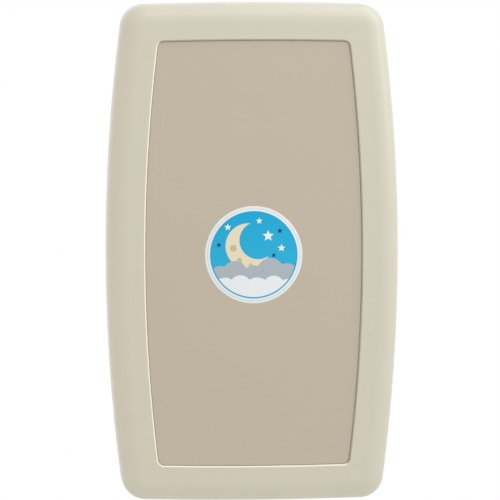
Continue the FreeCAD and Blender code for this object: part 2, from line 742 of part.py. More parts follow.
# Gas rod with its piston, and the foot that bears on the crank stud
foot_low = crank_z + STUD_RADIUS + FOOT_GAP
foot_high = foot_low + FOOT_THICK
piston_low = tube_bottom + GLAND_LENGTH + PISTON_RISE
rod = cyl_z(GAS_ROD_RADIUS, foot_high, piston_low, -tube_x, tube_y)
piston = cyl_z(bore_r - RUNNING_CLEARANCE, piston_low, piston_low + PISTON_LENGTH, -tube_x, tube_y)
save("gas_rod", union([rod, piston]))
save("rod_foot", cyl_z(FOOT_RADIUS, foot_low, foot_high, -tube_x, tube_y))

# Dispenser tray: box behind the base wall with a flange, pin holes and slots for the stop lugs
tray_back = base_front + TRAY_DEPTH
tray_low = door_low - DOOR_GAP
tray_high = door_high + DOOR_GAP
tray = box(-tray_out, tray_out, wall_back, tray_back, tray_low - TRAY_WALL, tray_high + TRAY_WALL)
tray_flange = box(
    -tray_in - TRAY_FLANGE,
    tray_in + TRAY_FLANGE,
    wall_back,
    wall_back + TRAY_WALL,
    tray_low - TRAY_FLANGE,
    tray_high + TRAY_FLANGE,
)
tray_room = box(-tray_in, tray_in, wall_back, tray_back - TRAY_WALL, tray_low, tray_high)


def lug_centre(angle, reach):
    a = math.radians(angle)
    return (knuckle_y + reach * math.sin(a), knuckle_z + reach * math.cos(a))


def lug_arc(reach, start, end, x):
    points = [lug_centre(a, reach) for a in (start, (start + end) / 2, end)]
    return Part.Arc(*[V(x, y, z) for y, z in points]).toShape()


def lug_cap(angle, way, x):
    r = LUG_RADIUS + DOOR_GAP / 2
    inner = lug_centre(angle, LUG_REACH - r)
    outer = lug_centre(angle, LUG_REACH + r)
    tip = lug_centre(angle + way * math.degrees(r / LUG_REACH), LUG_REACH)
    return Part.Arc(V(x, *inner), V(x, *tip), V(x, *outer)).toShape()


lug_room = LUG_RADIUS + DOOR_GAP / 2
lug_end = LUG_ANGLE - DOOR_TILT
lug_slot_edges = [
    lug_arc(LUG_REACH - lug_room, LUG_ANGLE, lug_end, tray_in),
    lug_cap(lug_end, -1, tray_in),
    lug_arc(LUG_REACH + lug_room, lug_end, LUG_ANGLE, tray_in),
    lug_cap(LUG_ANGLE, 1, tray_in),
]
lug_slot = Part.Face(Part.Wire(Part.__sortEdges__(lug_slot_edges))).extrude(V(TRAY_WALL, 0, 0))
tray = union([tray, tray_flange]).cut([tray_room] + both_sides(pin_hole) + both_sides(lug_slot))
save("dispenser_tray", tray)

# Dispenser door: plate with liner slot and pull, full-length knuckle, two cheeks with stop lugs
door_plate = door_blank(0, base_front, base_front + DOOR_THICK)
door_plate = door_plate.cut(box(-door_half, door_half, base_front, wall_back, door_low, knuckle_z))
knuckle = cyl_x(KNUCKLE_RADIUS, -door_half, door_half, knuckle_y, knuckle_z)
pull = cyl_x(PULL_RADIUS, -PULL_LENGTH / 2, PULL_LENGTH / 2, base_front, door_high - 3 * PULL_RADIUS)
cheek_out = door_half - DOOR_THICK
cheek = box(
    cheek_out - CHEEK_THICK,
    cheek_out,
    base_front + DOOR_THICK,
    base_front + DOOR_THICK + CHEEK_DEPTH,
    knuckle_z,
    door_high,
)
cheek = cheek.common(cyl_x(CHEEK_RADIUS, 0, door_half, knuckle_y, knuckle_z))
lug = cyl_x(LUG_RADIUS, cheek_out - CHEEK_THICK, tray_out, *lug_centre(LUG_ANGLE, LUG_REACH))
liner_z = dispenser_z - LINER_SLOT_DROP
liner_end = (LINER_SLOT_LENGTH - LINER_SLOT_HEIGHT) / 2
liner_r = LINER_SLOT_HEIGHT / 2
liner_slot = union(
    [
        box(-liner_end, liner_end, base_front, wall_back, liner_z - liner_r, liner_z + liner_r),
        cyl_y(liner_r, base_front, wall_back, -liner_end, liner_z),
        cyl_y(liner_r, base_front, wall_back, liner_end, liner_z),
    ]
)
pin_bore = cyl_x(DOOR_PIN_RADIUS, cheek_out - 4 * DOOR_PIN_RADIUS, tray_out, knuckle_y, knuckle_z)
door = union([door_plate, knuckle, pull] + both_sides(cheek) + both_sides(lug))
door = door.cut([liner_slot] + both_sides(pin_bore))
save("dispenser_door", door)
save("door_hinge_pins", Part.makeCompound(both_sides(pin_bore)))

# Magnet on the tray and strike plate on the door hold the door shut
door_back = base_front + DOOR_THICK
strike_back = door_back + STRIKE_THICK
strike = box(-CATCH_WIDTH / 2, CATCH_WIDTH / 2, door_back, strike_back, door_high - CATCH_HEIGHT, door_high)
save("catch_strike", strike)
magnet_front = strike_back + CATCH_GAP
magnet = box(
    -CATCH_WIDTH / 2,
    CATCH_WIDTH / 2,
    magnet_front,
    magnet_front + CATCH_HEIGHT,
    tray_high - CATCH_HEIGHT,
    tray_high,
)
save("catch_magnet", magnet)

# Bag hooks on the base, each a pad with a bar that bends up to a rounded tip
pad_front = base_front - HOOK_PAD_THICK
hook_tip = pad_front - HOOK_REACH
hook_low = hook_z - HOOK_PAD_HEIGHT / 4
hook_pad = box(
    hook_x - HOOK_PAD_WIDTH / 2,
    hook_x + HOOK_PAD_WIDTH / 2,
    pad_front,
    base_front,
    hook_z - HOOK_PAD_HEIGHT / 2,
    hook_z + HOOK_PAD_HEIGHT / 2,
)
hook_pad = rounded_along(hook_pad, HOOK_PAD_CORNER, V(0, 1, 0), anywhere)
hook_pad = rounded_at(hook_pad, HOOK_EDGE, pad_front, hook_pad)
bar_top = hook_low + HOOK_BAR
hook_inside = hook_tip + HOOK_BAR
tip_z = hook_low + HOOK_RISE
hook_bar = plate_x(
    [
        (pad_front, hook_low),
        (hook_tip, hook_low),
        (hook_tip, tip_z),
        (hook_inside, tip_z),
        (hook_inside, bar_top),
        (pad_front, bar_top),
    ],
    hook_x - HOOK_WIDTH / 2,
    hook_x + HOOK_WIDTH / 2,
)
hook_bar = rounded_along(hook_bar, HOOK_BEND + HOOK_BAR, V(1, 0, 0), at_corner(hook_tip, hook_low))
hook_bar = rounded_along(hook_bar, HOOK_BEND, V(1, 0, 0), at_corner(hook_inside, bar_top))
hook_bar = rounded_along(hook_bar, HOOK_TIP, V(0, 1, 0), lambda p: p.z > hook_z)
free_edges = [e for e in hook_bar.Edges if e.CenterOfMass.y < pad_front - HOOK_EDGE]
hook_bar = hook_bar.makeFillet(HOOK_EDGE, free_edges)
hook = union([hook_pad, hook_bar])
hook = hook.cut([cyl_y(SCREW_RADIUS, pad_front, base_front, hook_x, z) for z in hook_screw_zs])
save("bag_hook_right", hook)
save("bag_hook_left", mirrored(hook))
hook_screws = []
for z in hook_screw_zs:
    head = cyl_y(SCREW_HEAD_RADIUS, pad_front - SCREW_HEAD_HEIGHT, pad_front, hook_x, z)
    hook_screws += both_sides(union([head, cyl_y(SCREW_RADIUS, pad_front, hook_screw_end, hook_x, z)]))
save("hook_screws", Part.makeCompound(hook_screws))

# Safety strap: webbing from a looped bar behind each side slot to the buckle in the middle
strap_low = strap_z - STRAP_WIDTH / 2
strap_high = strap_z + STRAP_WIDTH / 2
loop_r = ANCHOR_RADIUS + STRAP_THICK
anchor_x = skin_x + loop_r
strap_mid = strap_y - STRAP_SAG
sweep_run = skin_x - WALL - STRAP_FLAT
sweep_r = (sweep_run**2 + STRAP_SAG**2) / (2 * STRAP_SAG)


def webbing(path):
    # A run of webbing from points on its middle line, given as (x, y), mitred where it turns.
    normals = []
    for a, b in zip(path, path[1:]):
        d = math.hypot(b[0] - a[0], b[1] - a[1])
        normals.append(((a[1] - b[1]) / d, (b[0] - a[0]) / d))
    upper = []
    lower = []
    for p, m, n in zip(path, normals[:1] + normals, normals + normals[-1:]):
        k = STRAP_THICK / 2 / (1 + m[0] * n[0] + m[1] * n[1])
        upper.append((p[0] + k * (m[0] + n[0]), p[1] + k * (m[1] + n[1])))
        lower.append((p[0] - k * (m[0] + n[0]), p[1] - k * (m[1] + n[1])))
    return plate_z(upper + lower[::-1], strap_low, strap_high)


def strap_height(x, drop):
    # Height of the middle line, flat near the buckle and then rising in an arc to the side slot.
    run = max(abs(x) - STRAP_FLAT, 0)
    rise = sweep_r - math.sqrt(sweep_r**2 - run**2)
    return strap_mid - drop * (1 - run / sweep_run) + rise


def strap_run(drop):
    # Middle line of the right half from the flat centre to the anchor loop.
    path = []
    for i in range(13):
        x = STRAP_FLAT + sweep_run * i / 12
        path.append((x, strap_height(x, drop)))
    path.append((anchor_x - ANCHOR_RADIUS - STRAP_THICK / 2, strap_y))
    return path


def anchor_loop():
    ring_out = cyl_z(loop_r, strap_low, strap_high, anchor_x, strap_y)
    return ring_out.cut(cyl_z(ANCHOR_RADIUS, strap_low, strap_high, anchor_x, strap_y))


lower_drop = STRAP_THICK + STRAP_LAY
tail_path = []
for i in range(7):
    x = -STRAP_TAIL + (STRAP_TAIL - STRAP_FLAT) * i / 6
    tail_path.append((x, strap_height(x, lower_drop) + lower_drop + STRAP_LAY))
save("strap_right", union([webbing(tail_path + strap_run(0)), anchor_loop()]))

# The left strap is sewn round the end bar of the buckle
bar_end = -BUCKLE_LENGTH / 2 + BUCKLE_BAR
lower_mid = strap_mid - lower_drop
plate_top = lower_mid - STRAP_THICK / 2
under_mid = plate_top - BUCKLE_PLATE - STRAP_THICK / 2
turn_x = bar_end + STRAP_THICK / 2
sewn_y = strap_height(-STRAP_OVERLAP, lower_drop) - STRAP_THICK - 2 * STRAP_LAY
left_path = [(-x, y) for x, y in strap_run(lower_drop)][::-1]
left_path += [
    (turn_x, lower_mid),
    (turn_x, under_mid),
    (-BUCKLE_LENGTH / 2 - STRAP_THICK, under_mid),
    (-STRAP_OVERLAP, sewn_y),
]
save("strap_left", union([webbing(left_path), mirrored(anchor_loop())]))
anchor_low = strap_z - ANCHOR_LENGTH / 2
anchor = cyl_z(ANCHOR_RADIUS, anchor_low, anchor_low + ANCHOR_LENGTH, anchor_x, strap_y)
save("strap_anchors", Part.makeCompound(both_sides(anchor)))

# Buckle body: plate with end bar, raised anvil and two ears for the cam's pin
buckle_half = STRAP_WIDTH / 2 + BUCKLE_SIDE_GAP + BUCKLE_EAR
ear_in = STRAP_WIDTH / 2 + BUCKLE_SIDE_GAP
plate_low = plate_top - BUCKLE_PLATE
strap_top = strap_mid + STRAP_THICK / 2
pin_y = strap_top + BUCKLE_BITE + BUCKLE_DRUM
buckle_plate = box(
    -BUCKLE_LENGTH / 2, BUCKLE_LENGTH / 2, plate_low, plate_top, strap_z - buckle_half, strap_z + buckle_half
)
bar_slot = box(bar_end, bar_end + BUCKLE_SLOT, plate_low, plate_top, strap_z - ear_in, strap_z + ear_in)
anvil = box(
    BUCKLE_PIN_X - BUCKLE_DRUM,
    BUCKLE_PIN_X + BUCKLE_DRUM,
    plate_top,
    strap_mid - STRAP_THICK / 2,
    strap_low,
    strap_high,
)
buckle = [buckle_plate.cut(bar_slot), anvil]
pin_low = strap_z - buckle_half
pin_high = strap_z + buckle_half
pin_way = cyl_z(BUCKLE_PIN_RADIUS, pin_low, pin_high, BUCKLE_PIN_X, pin_y)
ear_half = 1.4 * BUCKLE_DRUM
for z0, z1 in ((pin_low, strap_z - ear_in), (strap_z + ear_in, pin_high)):
    ear_foot = box(BUCKLE_PIN_X - ear_half, BUCKLE_PIN_X + ear_half, plate_top, pin_y, z0, z1)
    buckle += [ear_foot, cyl_z(BUCKLE_DRUM, z0, z1, BUCKLE_PIN_X, pin_y)]
save("buckle_body", union(buckle).cut(pin_way))
save("buckle_pin", pin_way)

# Buckle cam: toothed drum with a lever that lifts to free the strap
cam_half = ear_in - BUCKLE_SIDE_GAP
cam_low = strap_z - cam_half
cam_high = strap_z + cam_half
drum = cyl_z(BUCKLE_DRUM, cam_low, cam_high, BUCKLE_PIN_X, pin_y)
groove_r = BUCKLE_DRUM / 6
for k in range(5):
    a = math.radians(-110 + 20 * k)
    x = BUCKLE_PIN_X + (BUCKLE_DRUM + groove_r / 3) * math.cos(a)
    y = pin_y + (BUCKLE_DRUM + groove_r / 3) * math.sin(a)
    drum = drum.cut(cyl_z(groove_r, cam_low, cam_high, x, y))
lever_tip = BUCKLE_PIN_X - LEVER_LENGTH
lever_y = pin_y + BUCKLE_DRUM - LEVER_THICK
lever = box(lever_tip, BUCKLE_PIN_X, lever_y, lever_y + LEVER_THICK, cam_low, cam_high)
lever_lip = cyl_z(LEVER_THICK / 2 + 0.5, cam_low, cam_high, lever_tip, lever_y + LEVER_THICK / 2)
cam_way = cyl_z(BUCKLE_PIN_RADIUS + RUNNING_CLEARANCE, cam_low, cam_high, BUCKLE_PIN_X, pin_y)
save("buckle_cam", union([drum, lever, lever_lip]).cut(cam_way))
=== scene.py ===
import json
import math

import bmesh
import bpy
from mathutils import Matrix, Vector


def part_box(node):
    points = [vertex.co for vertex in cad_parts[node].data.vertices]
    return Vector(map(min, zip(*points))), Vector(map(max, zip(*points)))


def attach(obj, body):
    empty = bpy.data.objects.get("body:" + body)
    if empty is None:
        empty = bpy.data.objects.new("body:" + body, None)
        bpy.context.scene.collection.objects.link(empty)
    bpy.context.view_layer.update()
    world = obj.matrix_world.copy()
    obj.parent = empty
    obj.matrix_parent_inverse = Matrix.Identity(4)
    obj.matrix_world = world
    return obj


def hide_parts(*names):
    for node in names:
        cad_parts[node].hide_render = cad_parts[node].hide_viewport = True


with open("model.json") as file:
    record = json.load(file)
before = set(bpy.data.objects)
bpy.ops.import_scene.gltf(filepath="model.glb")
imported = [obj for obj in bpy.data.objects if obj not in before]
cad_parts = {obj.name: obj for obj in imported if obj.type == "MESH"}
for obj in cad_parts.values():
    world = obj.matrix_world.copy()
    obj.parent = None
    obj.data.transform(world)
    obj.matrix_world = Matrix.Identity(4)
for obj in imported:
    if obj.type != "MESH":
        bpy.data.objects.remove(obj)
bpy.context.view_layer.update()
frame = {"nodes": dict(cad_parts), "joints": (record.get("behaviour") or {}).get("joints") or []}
nodes = frame["nodes"]
bpy.ops.object.select_all(action="DESELECT")

# View: the closed unit is seen from the front with a long lens, from a little above
# and a little to the left of its middle.
IMAGE_WIDTH = 0.9035
CAMERA_DISTANCE = 10.0
CAMERA_AZIMUTH = math.radians(-4.2)
CAMERA_ELEVATION = math.radians(4.8)
VIEW_TARGET = Vector((-0.0043, -0.095, 0.00375))
VIEW_REACH = 100.0
SENSOR_WIDTH = 36.0

bpy.ops.object.camera_add()
camera = bpy.context.object
camera.name = "camera"
camera.data.sensor_width = SENSOR_WIDTH
camera.data.lens = SENSOR_WIDTH * CAMERA_DISTANCE / IMAGE_WIDTH
camera.data.clip_end = VIEW_REACH
towards_camera = Vector(
    (
        math.sin(CAMERA_AZIMUTH) * math.cos(CAMERA_ELEVATION),
        -math.cos(CAMERA_AZIMUTH) * math.cos(CAMERA_ELEVATION),
        math.sin(CAMERA_ELEVATION),
    )
)
camera.location = VIEW_TARGET + CAMERA_DISTANCE * towards_camera
camera.rotation_euler = towards_camera.to_track_quat("Z", "Y").to_euler()
bpy.context.scene.camera = camera
bpy.context.scene.view_settings.view_transform = "Standard"

# Floor: the unit hangs on a wall with its hinge at table height, so the pale floor lies
# well below it and out of the picture. Away from the unit it fades into the white room.
FLOOR_DROP = 1.2
FLOOR_SIZE = 4.0
FLOOR_COLOUR = (0.86, 0.86, 0.85, 1)
FLOOR_ROUGHNESS = 0.8
FADE_START = 0.7
FADE_END = 1.9


def new_material(name):
    # A material, with the tree, the shader and the place on the object that all helpers work on.
    global tree, shader, place
    material = bpy.data.materials.new(name)
    material.use_nodes = True
    tree = material.node_tree
    shader = tree.nodes["Principled BSDF"]
    place = tree.nodes.new("ShaderNodeTexCoord").outputs["Object"]
    return material


def reckon(operation, *values):
    # A Math node on sockets and plain numbers.
    step = tree.nodes.new("ShaderNodeMath")
    step.operation = operation
    for socket, value in zip(step.inputs, values):
        if isinstance(value, (int, float)):
            socket.default_value = value
        else:
            tree.links.new(value, socket)
    return step.outputs[0]


def ramp(value, start, end, kind="SMOOTHSTEP"):
    # 0 up to the start, 1 from the end on, and a soft or straight rise in between.
    rise = tree.nodes.new("ShaderNodeMapRange")
    rise.interpolation_type = kind
    rise.inputs["From Min"].default_value = start
    rise.inputs["From Max"].default_value = end
    tree.links.new(value, rise.inputs["Value"])
    return rise.outputs["Result"]


def seen_by_camera():
    # 1 for what the camera sees, straight, mirrored or through glass, and 0 for light.
    ray = tree.nodes.new("ShaderNodeLightPath").outputs
    seen = reckon("MAXIMUM", ray["Is Camera Ray"], ray["Is Glossy Ray"])
    return reckon("MAXIMUM", seen, ray["Is Transmission Ray"])


bpy.ops.mesh.primitive_plane_add(size=FLOOR_SIZE, location=(0, 0, -FLOOR_DROP))
floor = bpy.context.object
floor.name = "floor"
bpy.ops.object.transform_apply(location=True)
floor_paint = new_material("floor_paint")
shader.inputs["Base Color"].default_value = FLOOR_COLOUR
shader.inputs["Roughness"].default_value = FLOOR_ROUGHNESS
along_floor = tree.nodes.new("ShaderNodeVectorMath")
along_floor.operation = "DISTANCE"
along_floor.inputs[1].default_value = (0, 0, -FLOOR_DROP)
tree.links.new(place, along_floor.inputs[0])
faded = ramp(along_floor.outputs["Value"], FADE_START, FADE_END)
room_white = tree.nodes.new("ShaderNodeEmission")
meeting = tree.nodes.new("ShaderNodeMixShader")
tree.links.new(reckon("MULTIPLY", faded, seen_by_camera()), meeting.inputs[0])
tree.links.new(shader.outputs["BSDF"], meeting.inputs[1])
tree.links.new(room_white.outputs["Emission"], meeting.inputs[2])
tree.links.new(meeting.outputs["Shader"], tree.nodes["Material Output"].inputs["Surface"])
floor.data.materials.append(floor_paint)

# Light: a white room that lights the unit from all round, with cool soft boxes overhead and on
# the right, and a weak one in front.
ROOM_LIGHT = 0.90
WHITE = (1.0, 1.0, 1.0)
COOL_WHITE = (0.78, 0.93, 1.0)
SOFT_BOXES = {
    "top_light": {
        "spot": (0.5, -0.35, 1.7),
        "size": (2.0, 1.0),
        "power": 7.5,
        "colour": COOL_WHITE,
    },
    "right_light": {
        "spot": (1.5, -0.40, 0.8),
        "size": (0.8, 1.5),
        "power": 6.4,
        "colour": COOL_WHITE,
    },
    "front_light": {
        "spot": (1.6, -3.2, 1.2),
        "size": (2.2, 2.2),
        "power": 6.0,
        "colour": WHITE,
    },
}

world = bpy.data.worlds.new("white_room")
bpy.context.scene.world = world
world.use_nodes = True
tree = world.node_tree
background = tree.nodes["Background"]
background.inputs["Color"].default_value = (*WHITE, 1)
level = reckon("MULTIPLY_ADD", seen_by_camera(), 1 - ROOM_LIGHT, ROOM_LIGHT)
tree.links.new(level, background.inputs["Strength"])

for name, soft_box in SOFT_BOXES.items():
    spot = Vector(soft_box["spot"])
    bpy.ops.object.light_add(type="AREA", location=spot)
    lamp = bpy.context.object
    lamp.name = name
    lamp.data.shape = "RECTANGLE"
    lamp.data.size, lamp.data.size_y = soft_box["size"]
    lamp.data.energy = soft_box["power"]
    lamp.data.color = soft_box["colour"]
    lamp.rotation_euler = (spot - VIEW_TARGET).to_track_quat("Z", "Y").to_euler()

# Mounting frame: two folded steel channels and two flat bars, welded, powder coated in black
# and bolted to the wall through the channels.
COAT_BLACK = (0.030, 0.030, 0.032)
COAT_TONE = (0.85, 1.25)
COAT_SPOTS = 0.05
COAT_ROUGHNESS = (0.42, 0.58)
COAT_PEEL = 0.0022
COAT_DEPTH = 0.00012
COAT_ROUND = 0.0008
USUAL_TONE = (0.3, 0.7)


def cloudy(size, detail=2.0, where=None):
    # Random tone from 0 to 1 with spots of the given size in metres.
    texture = tree.nodes.new("ShaderNodeTexNoise")
    texture.inputs["Scale"].default_value = 1 / size
    texture.inputs["Detail"].default_value = detail
    tree.links.new(where or place, texture.inputs["Vector"])
    return texture.outputs["Fac"]


def spread(tone, low, high):
    # The usual middle of a random tone laid out from low to high.
    span = tree.nodes.new("ShaderNodeMapRange")
    span.inputs["From Min"].default_value, span.inputs["From Max"].default_value = USUAL_TONE
    span.inputs["To Min"].default_value = low
    span.inputs["To Max"].default_value = high
    tree.links.new(tone, span.inputs["Value"])
    return span.outputs["Result"]


def shade(colour, factor):
    return tuple(factor * c for c in colour)


def blend_colours(tone, first, second):
    # The first colour, or what a socket gives, where the tone is 0, and the second where it is 1.
    mix = tree.nodes.new("ShaderNodeMix")
    mix.data_type = "RGBA"
    tree.links.new(tone, mix.inputs[0])
    for socket, colour in ((mix.inputs[6], first), (mix.inputs[7], second)):
        if isinstance(colour, tuple):
            socket.default_value = (*colour, 1)
        else:
            tree.links.new(colour, socket)
    return mix.outputs[2]


def tint(colour, factors, tone):
    # The base colour, from darker to lighter as the tone rises.
    darker, lighter = [shade(colour, factor) for factor in factors]
    tree.links.new(blend_colours(tone, darker, lighter), shader.inputs["Base Color"])


def roughen(limits, tone):
    tree.links.new(spread(tone, *limits), shader.inputs["Roughness"])


def raise_grain(tone, depth, edge=0.0):
    # Bump of the given depth in metres, over edges that look rounded by the given radius.
    bump = tree.nodes.new("ShaderNodeBump")
    bump.inputs["Distance"].default_value = depth
    tree.links.new(tone, bump.inputs["Height"])
    if edge:
        bevel = tree.nodes.new("ShaderNodeBevel")
        bevel.inputs["Radius"].default_value = edge
        tree.links.new(bevel.outputs["Normal"], bump.inputs["Normal"])
    tree.links.new(bump.outputs["Normal"], shader.inputs["Normal"])


def coat(piece, material):
    piece.data.materials.clear()
    piece.data.materials.append(material)


def dress(material, *names):
    for name in names:
        coat(nodes[name], material)


powder_coat = new_material("powder_coat_black")
peel = cloudy(COAT_PEEL)
tint(COAT_BLACK, COAT_TONE, cloudy(COAT_SPOTS))
roughen(COAT_ROUGHNESS, peel)
raise_grain(peel, COAT_DEPTH, COAT_ROUND)
dress(
    powder_coat,
    "mounting_upright_left",
    "mounting_upright_right",
    "mounting_crossbar_top",
    "mounting_crossbar_bottom",
)

# Cream mouldings: bed shell, bed pan, hinge guard, base, hand cup and hole plugs, of
# polyethylene with a fine grain from the mould. The lip round the shell's panel has painted
# light: a painted highlight at the left and at the foot, and painted shade at the right and at the
# head.
CREAM = (0.632, 0.578, 0.462)
CREAM_ROUGHNESS = (0.28, 0.34)
CREAM_GRAIN = 0.0011
CREAM_DEPTH = 0.00006
PLASTIC_TONE = (0.985, 1.015)
SPECK_SHARE = 0.25
FLOW_SHARE = (0.2, 0.55)
FLOW_SIZE = 0.11
FLOW_DETAIL = 3.0
SHEEN_SPOTS = 0.02
MOULD_EDGE = 0.0008
# Painted light on the panel's lip: a lighter cream for a painted highlight on its lower left, and
# a darker one for painted shade on its upper right.
LIP_PAINTED_HIGHLIGHT = 1.50
LIP_PAINTED_SHADE = 0.68
LIP_SLANT = 2.245
LIP_TURN = 0.014
LIP_REACH = 0.008
LIP_START = 0.000005
LIP_FULL = 0.00005


def moulded_plastic(name, colour, roughness, grain, depth):
    # Flow marks a hand wide, a fine speck and a fine raised grain.
    material = new_material(name)
    speck = cloudy(grain)
    flow = spread(cloudy(FLOW_SIZE, FLOW_DETAIL), *FLOW_SHARE)
    tint(colour, PLASTIC_TONE, reckon("MULTIPLY_ADD", speck, SPECK_SHARE, flow))
    roughen(roughness, cloudy(SHEEN_SPOTS))
    raise_grain(speck, depth, MOULD_EDGE)
    return material


def parts_of(vector):
    split = tree.nodes.new("ShaderNodeSeparateXYZ")
    tree.links.new(vector, split.inputs[0])
    return split.outputs


cream_plastic = moulded_plastic("cream_plastic", CREAM, CREAM_ROUGHNESS, CREAM_GRAIN, CREAM_DEPTH)
across = parts_of(place)
shell_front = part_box("bed_shell")[0].y
panel_low, panel_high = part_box("front_panel")
# Painted light on the lip round the panel: lighter where light from the upper right would fall on
# it, darker where its shade would fall.
painted_lip_mask = ramp(across["Y"], shell_front + LIP_START, shell_front + LIP_FULL)
for axis, reach in (("X", panel_high.x + LIP_REACH), ("Z", panel_high.z + LIP_REACH)):
    near = reckon("LESS_THAN", reckon("ABSOLUTE", across[axis]), reach)
    painted_lip_mask = reckon("MULTIPLY", painted_lip_mask, near)
painted_lip_mask = reckon("MULTIPLY", painted_lip_mask, reckon("LESS_THAN", across["Y"], panel_low.y))
# A line through the upper left and the lower right corner parts the lip's painted highlight from
# its painted shade.
slant = reckon("MULTIPLY_ADD", across["X"], LIP_SLANT, across["Z"])
low_left = ramp(slant, LIP_TURN, -LIP_TURN)
lip = blend_colours(low_left, shade(CREAM, LIP_PAINTED_SHADE), shade(CREAM, LIP_PAINTED_HIGHLIGHT))
base_colour = shader.inputs["Base Color"]
tree.links.new(blend_colours(painted_lip_mask, base_colour.links[0].from_socket, lip), base_colour)
dress(
    cream_plastic,
    "bed_shell",
    "bed_pan",
    "hinge_cover",
    "base_shell",
    "hand_cup",
    "mounting_hole_caps",
)

# Base: an open-backed moulding of the same cream plastic, screwed to the mounting frame. Its
# rounded front edge is laid anew in even strips, from the hinge's trough up to the hand cup.
BASE_EDGE = 0.008
EDGE_START = 0.002
EDGE_FOOT = -0.375
EDGE_ROUNDNESS = 0.58
SAME_PLACE = 0.000004
SMOOTH_ANGLE = math.radians(35)

bpy.ops.object.select_all(action="DESELECT")
base = bpy.data.objects.new("base_moulding", nodes["base_shell"].data.copy())
bpy.context.scene.collection.objects.link(base)
bpy.context.view_layer.objects.active = base
base.select_set(True)
base_low, base_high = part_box("base_shell")
cup_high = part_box("hand_cup")[1]
front_y = base_low.y
side_y = front_y + BASE_EDGE
fold = next(joint for joint in frame["joints"] if joint["name"] == "bed_fold")
hinge = Vector(fold["pos_m"])
bpy.ops.mesh.customdata_custom_splitnormals_clear()
bpy.ops.object.mode_set(mode="EDIT")
bpy.ops.mesh.select_all(action="SELECT")
bpy.ops.mesh.remove_doubles(threshold=SAME_PLACE)
bpy.ops.mesh.select_all(action="DESELECT")


def in_edge(face):
    # Between the base's front and its side, but not on a wall of the hand cup or the trough.
    points = [v.co for v in face.verts]
    between = front_y + SAME_PLACE < max(p.y for p in points) < side_y + SAME_PLACE
    past_cup = max(abs(p.x) for p in points) > cup_high.x + SAME_PLACE
    from_hinge = [math.hypot(p.y - hinge.y, p.z - hinge.z) for p in points]
    return between and past_cup and max(from_hinge) - min(from_hinge) > SAME_PLACE


def widest(face):
    return max(abs(v.co.x) for v in face.verts)


shape = bmesh.from_edit_mesh(base.data)
waiting = {face for face in shape.faces if in_edge(face)}
reached = [face for face in waiting if widest(face) > base_high.x - EDGE_START]
waiting.difference_update(reached)
for face in reached:
    face.select_set(True)
    for edge in face.edges:
        beside = waiting.intersection(edge.link_faces)
        waiting -= beside
        reached.extend(beside)
bmesh.update_edit_mesh(base.data)
bpy.ops.mesh.delete(type="FACE")


def select_open(side, wanted):
    # Selects the open edges on one side of the base that pass the test, and counts them.
    bpy.ops.mesh.select_all(action="DESELECT")
    shape = bmesh.from_edit_mesh(base.data)
    found = [e for e in shape.edges if e.is_boundary and side * e.verts[0].co.x > 0]
    found = [e for e in found if wanted([v.co for v in e.verts])]
    for edge in found:
        edge.select_set(True)
    bmesh.update_edit_mesh(base.data)
    return len(found)


def on_rim(points):
    rims = (front_y, side_y)
    return any(all(abs(p.y - rim) < SAME_PLACE for p in points) for rim in rims)


def at_trough(points):
    return not on_rim(points) and points[0].z < 0


for side in (-1, 1):
    strips = select_open(side, at_trough)
    select_open(side, lambda points: on_rim(points) and min(p.z for p in points) > EDGE_FOOT)
    bpy.ops.mesh.bridge_edge_loops(
        number_cuts=strips - 1, interpolation="SURFACE", smoothness=EDGE_ROUNDNESS
    )
    select_open(side, at_trough)
    bpy.ops.mesh.bridge_edge_loops()
    select_open(side, lambda points: points[0].z > 0)
    bpy.ops.mesh.edge_face_add()
bpy.ops.mesh.select_all(action="SELECT")
bpy.ops.mesh.normals_make_consistent(inside=False)
bpy.ops.object.mode_set(mode="OBJECT")
bpy.ops.object.shade_smooth_by_angle(angle=SMOOTH_ANGLE)
even = base.modifiers.new("even", "WEIGHTED_NORMAL")
even.keep_sharp = True
bpy.ops.object.modifier_apply(modifier=even.name)
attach(base, "wall_unit")
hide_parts("base_shell")

# Taupe mouldings: the front panel, the liner box with its door, and the bag hooks, of
# the same plastic with a finer grain.
TAUPE = (0.521, 0.447, 0.343)
TAUPE_ROUGHNESS = (0.40, 0.48)
TAUPE_GRAIN = 0.0008
TAUPE_DEPTH = 0.00005

taupe_plastic = moulded_plastic("taupe_plastic", TAUPE, TAUPE_ROUGHNESS, TAUPE_GRAIN, TAUPE_DEPTH)
dress(
    taupe_plastic,
    "front_panel",
    "dispenser_tray",
    "dispenser_door",
    "bag_hook_left",
    "bag_hook_right",
)

# Round picture on the front panel: printed film with a white border, stuck on the middle of
# the panel. A crescent moon stands over banks of cloud on a blue sky.
PICTURE_RADIUS = 0.088
PICTURE_SIDES = 128
PICTURE_RISE = 0.0004
PICTURE_DROP = 0.002
PICTURE_ROUND_STEPS = 3
PICTURE_SMOOTH = math.radians(40)
FIELD_RADIUS = 0.079
FIELD_RIM = 0.0025
BORDER_LINE_RADIUS = 0.0835
BORDER_LINE = 0.0004
PRINT_EDGE = 0.00025
PAPER_WHITE = (0.80, 0.82, 0.80)
PAPER_TONE = (0.985, 1.015)
PAPER_GRAIN = 0.0015
PAPER_DEPTH = 0.00001
LINE_GREY = (0.52, 0.56, 0.55)
SKY_LOW = (0.030, 0.455, 0.680)
SKY_HIGH = (0.001, 0.370, 0.640)
MOON_CREAM = (0.80, 0.70, 0.50)
MOON_BEIGE = (0.60, 0.48, 0.31)
CLOUD_GREY = (0.42, 0.46, 0.50)
CLOUD_WHITE = (0.82, 0.84, 0.84)
NIGHT_NAVY = (0.010, 0.028, 0.150)
MOON = (-0.010, 0.016, 0.041)
MOON_BITE = (0.008, 0.026, 0.034)
MOON_SPOTS = [(-0.037, 0.012, 0.0062), (-0.026, -0.010, 0.0046), (-0.006, -0.019, 0.0035)]
BACK_CLOUD = [
    (-0.060, -0.040, 0.020),
    (-0.034, -0.033, 0.022),
    (0.000, -0.040, 0.021),
    (0.030, -0.030, 0.024),
    (0.060, -0.038, 0.022),
]
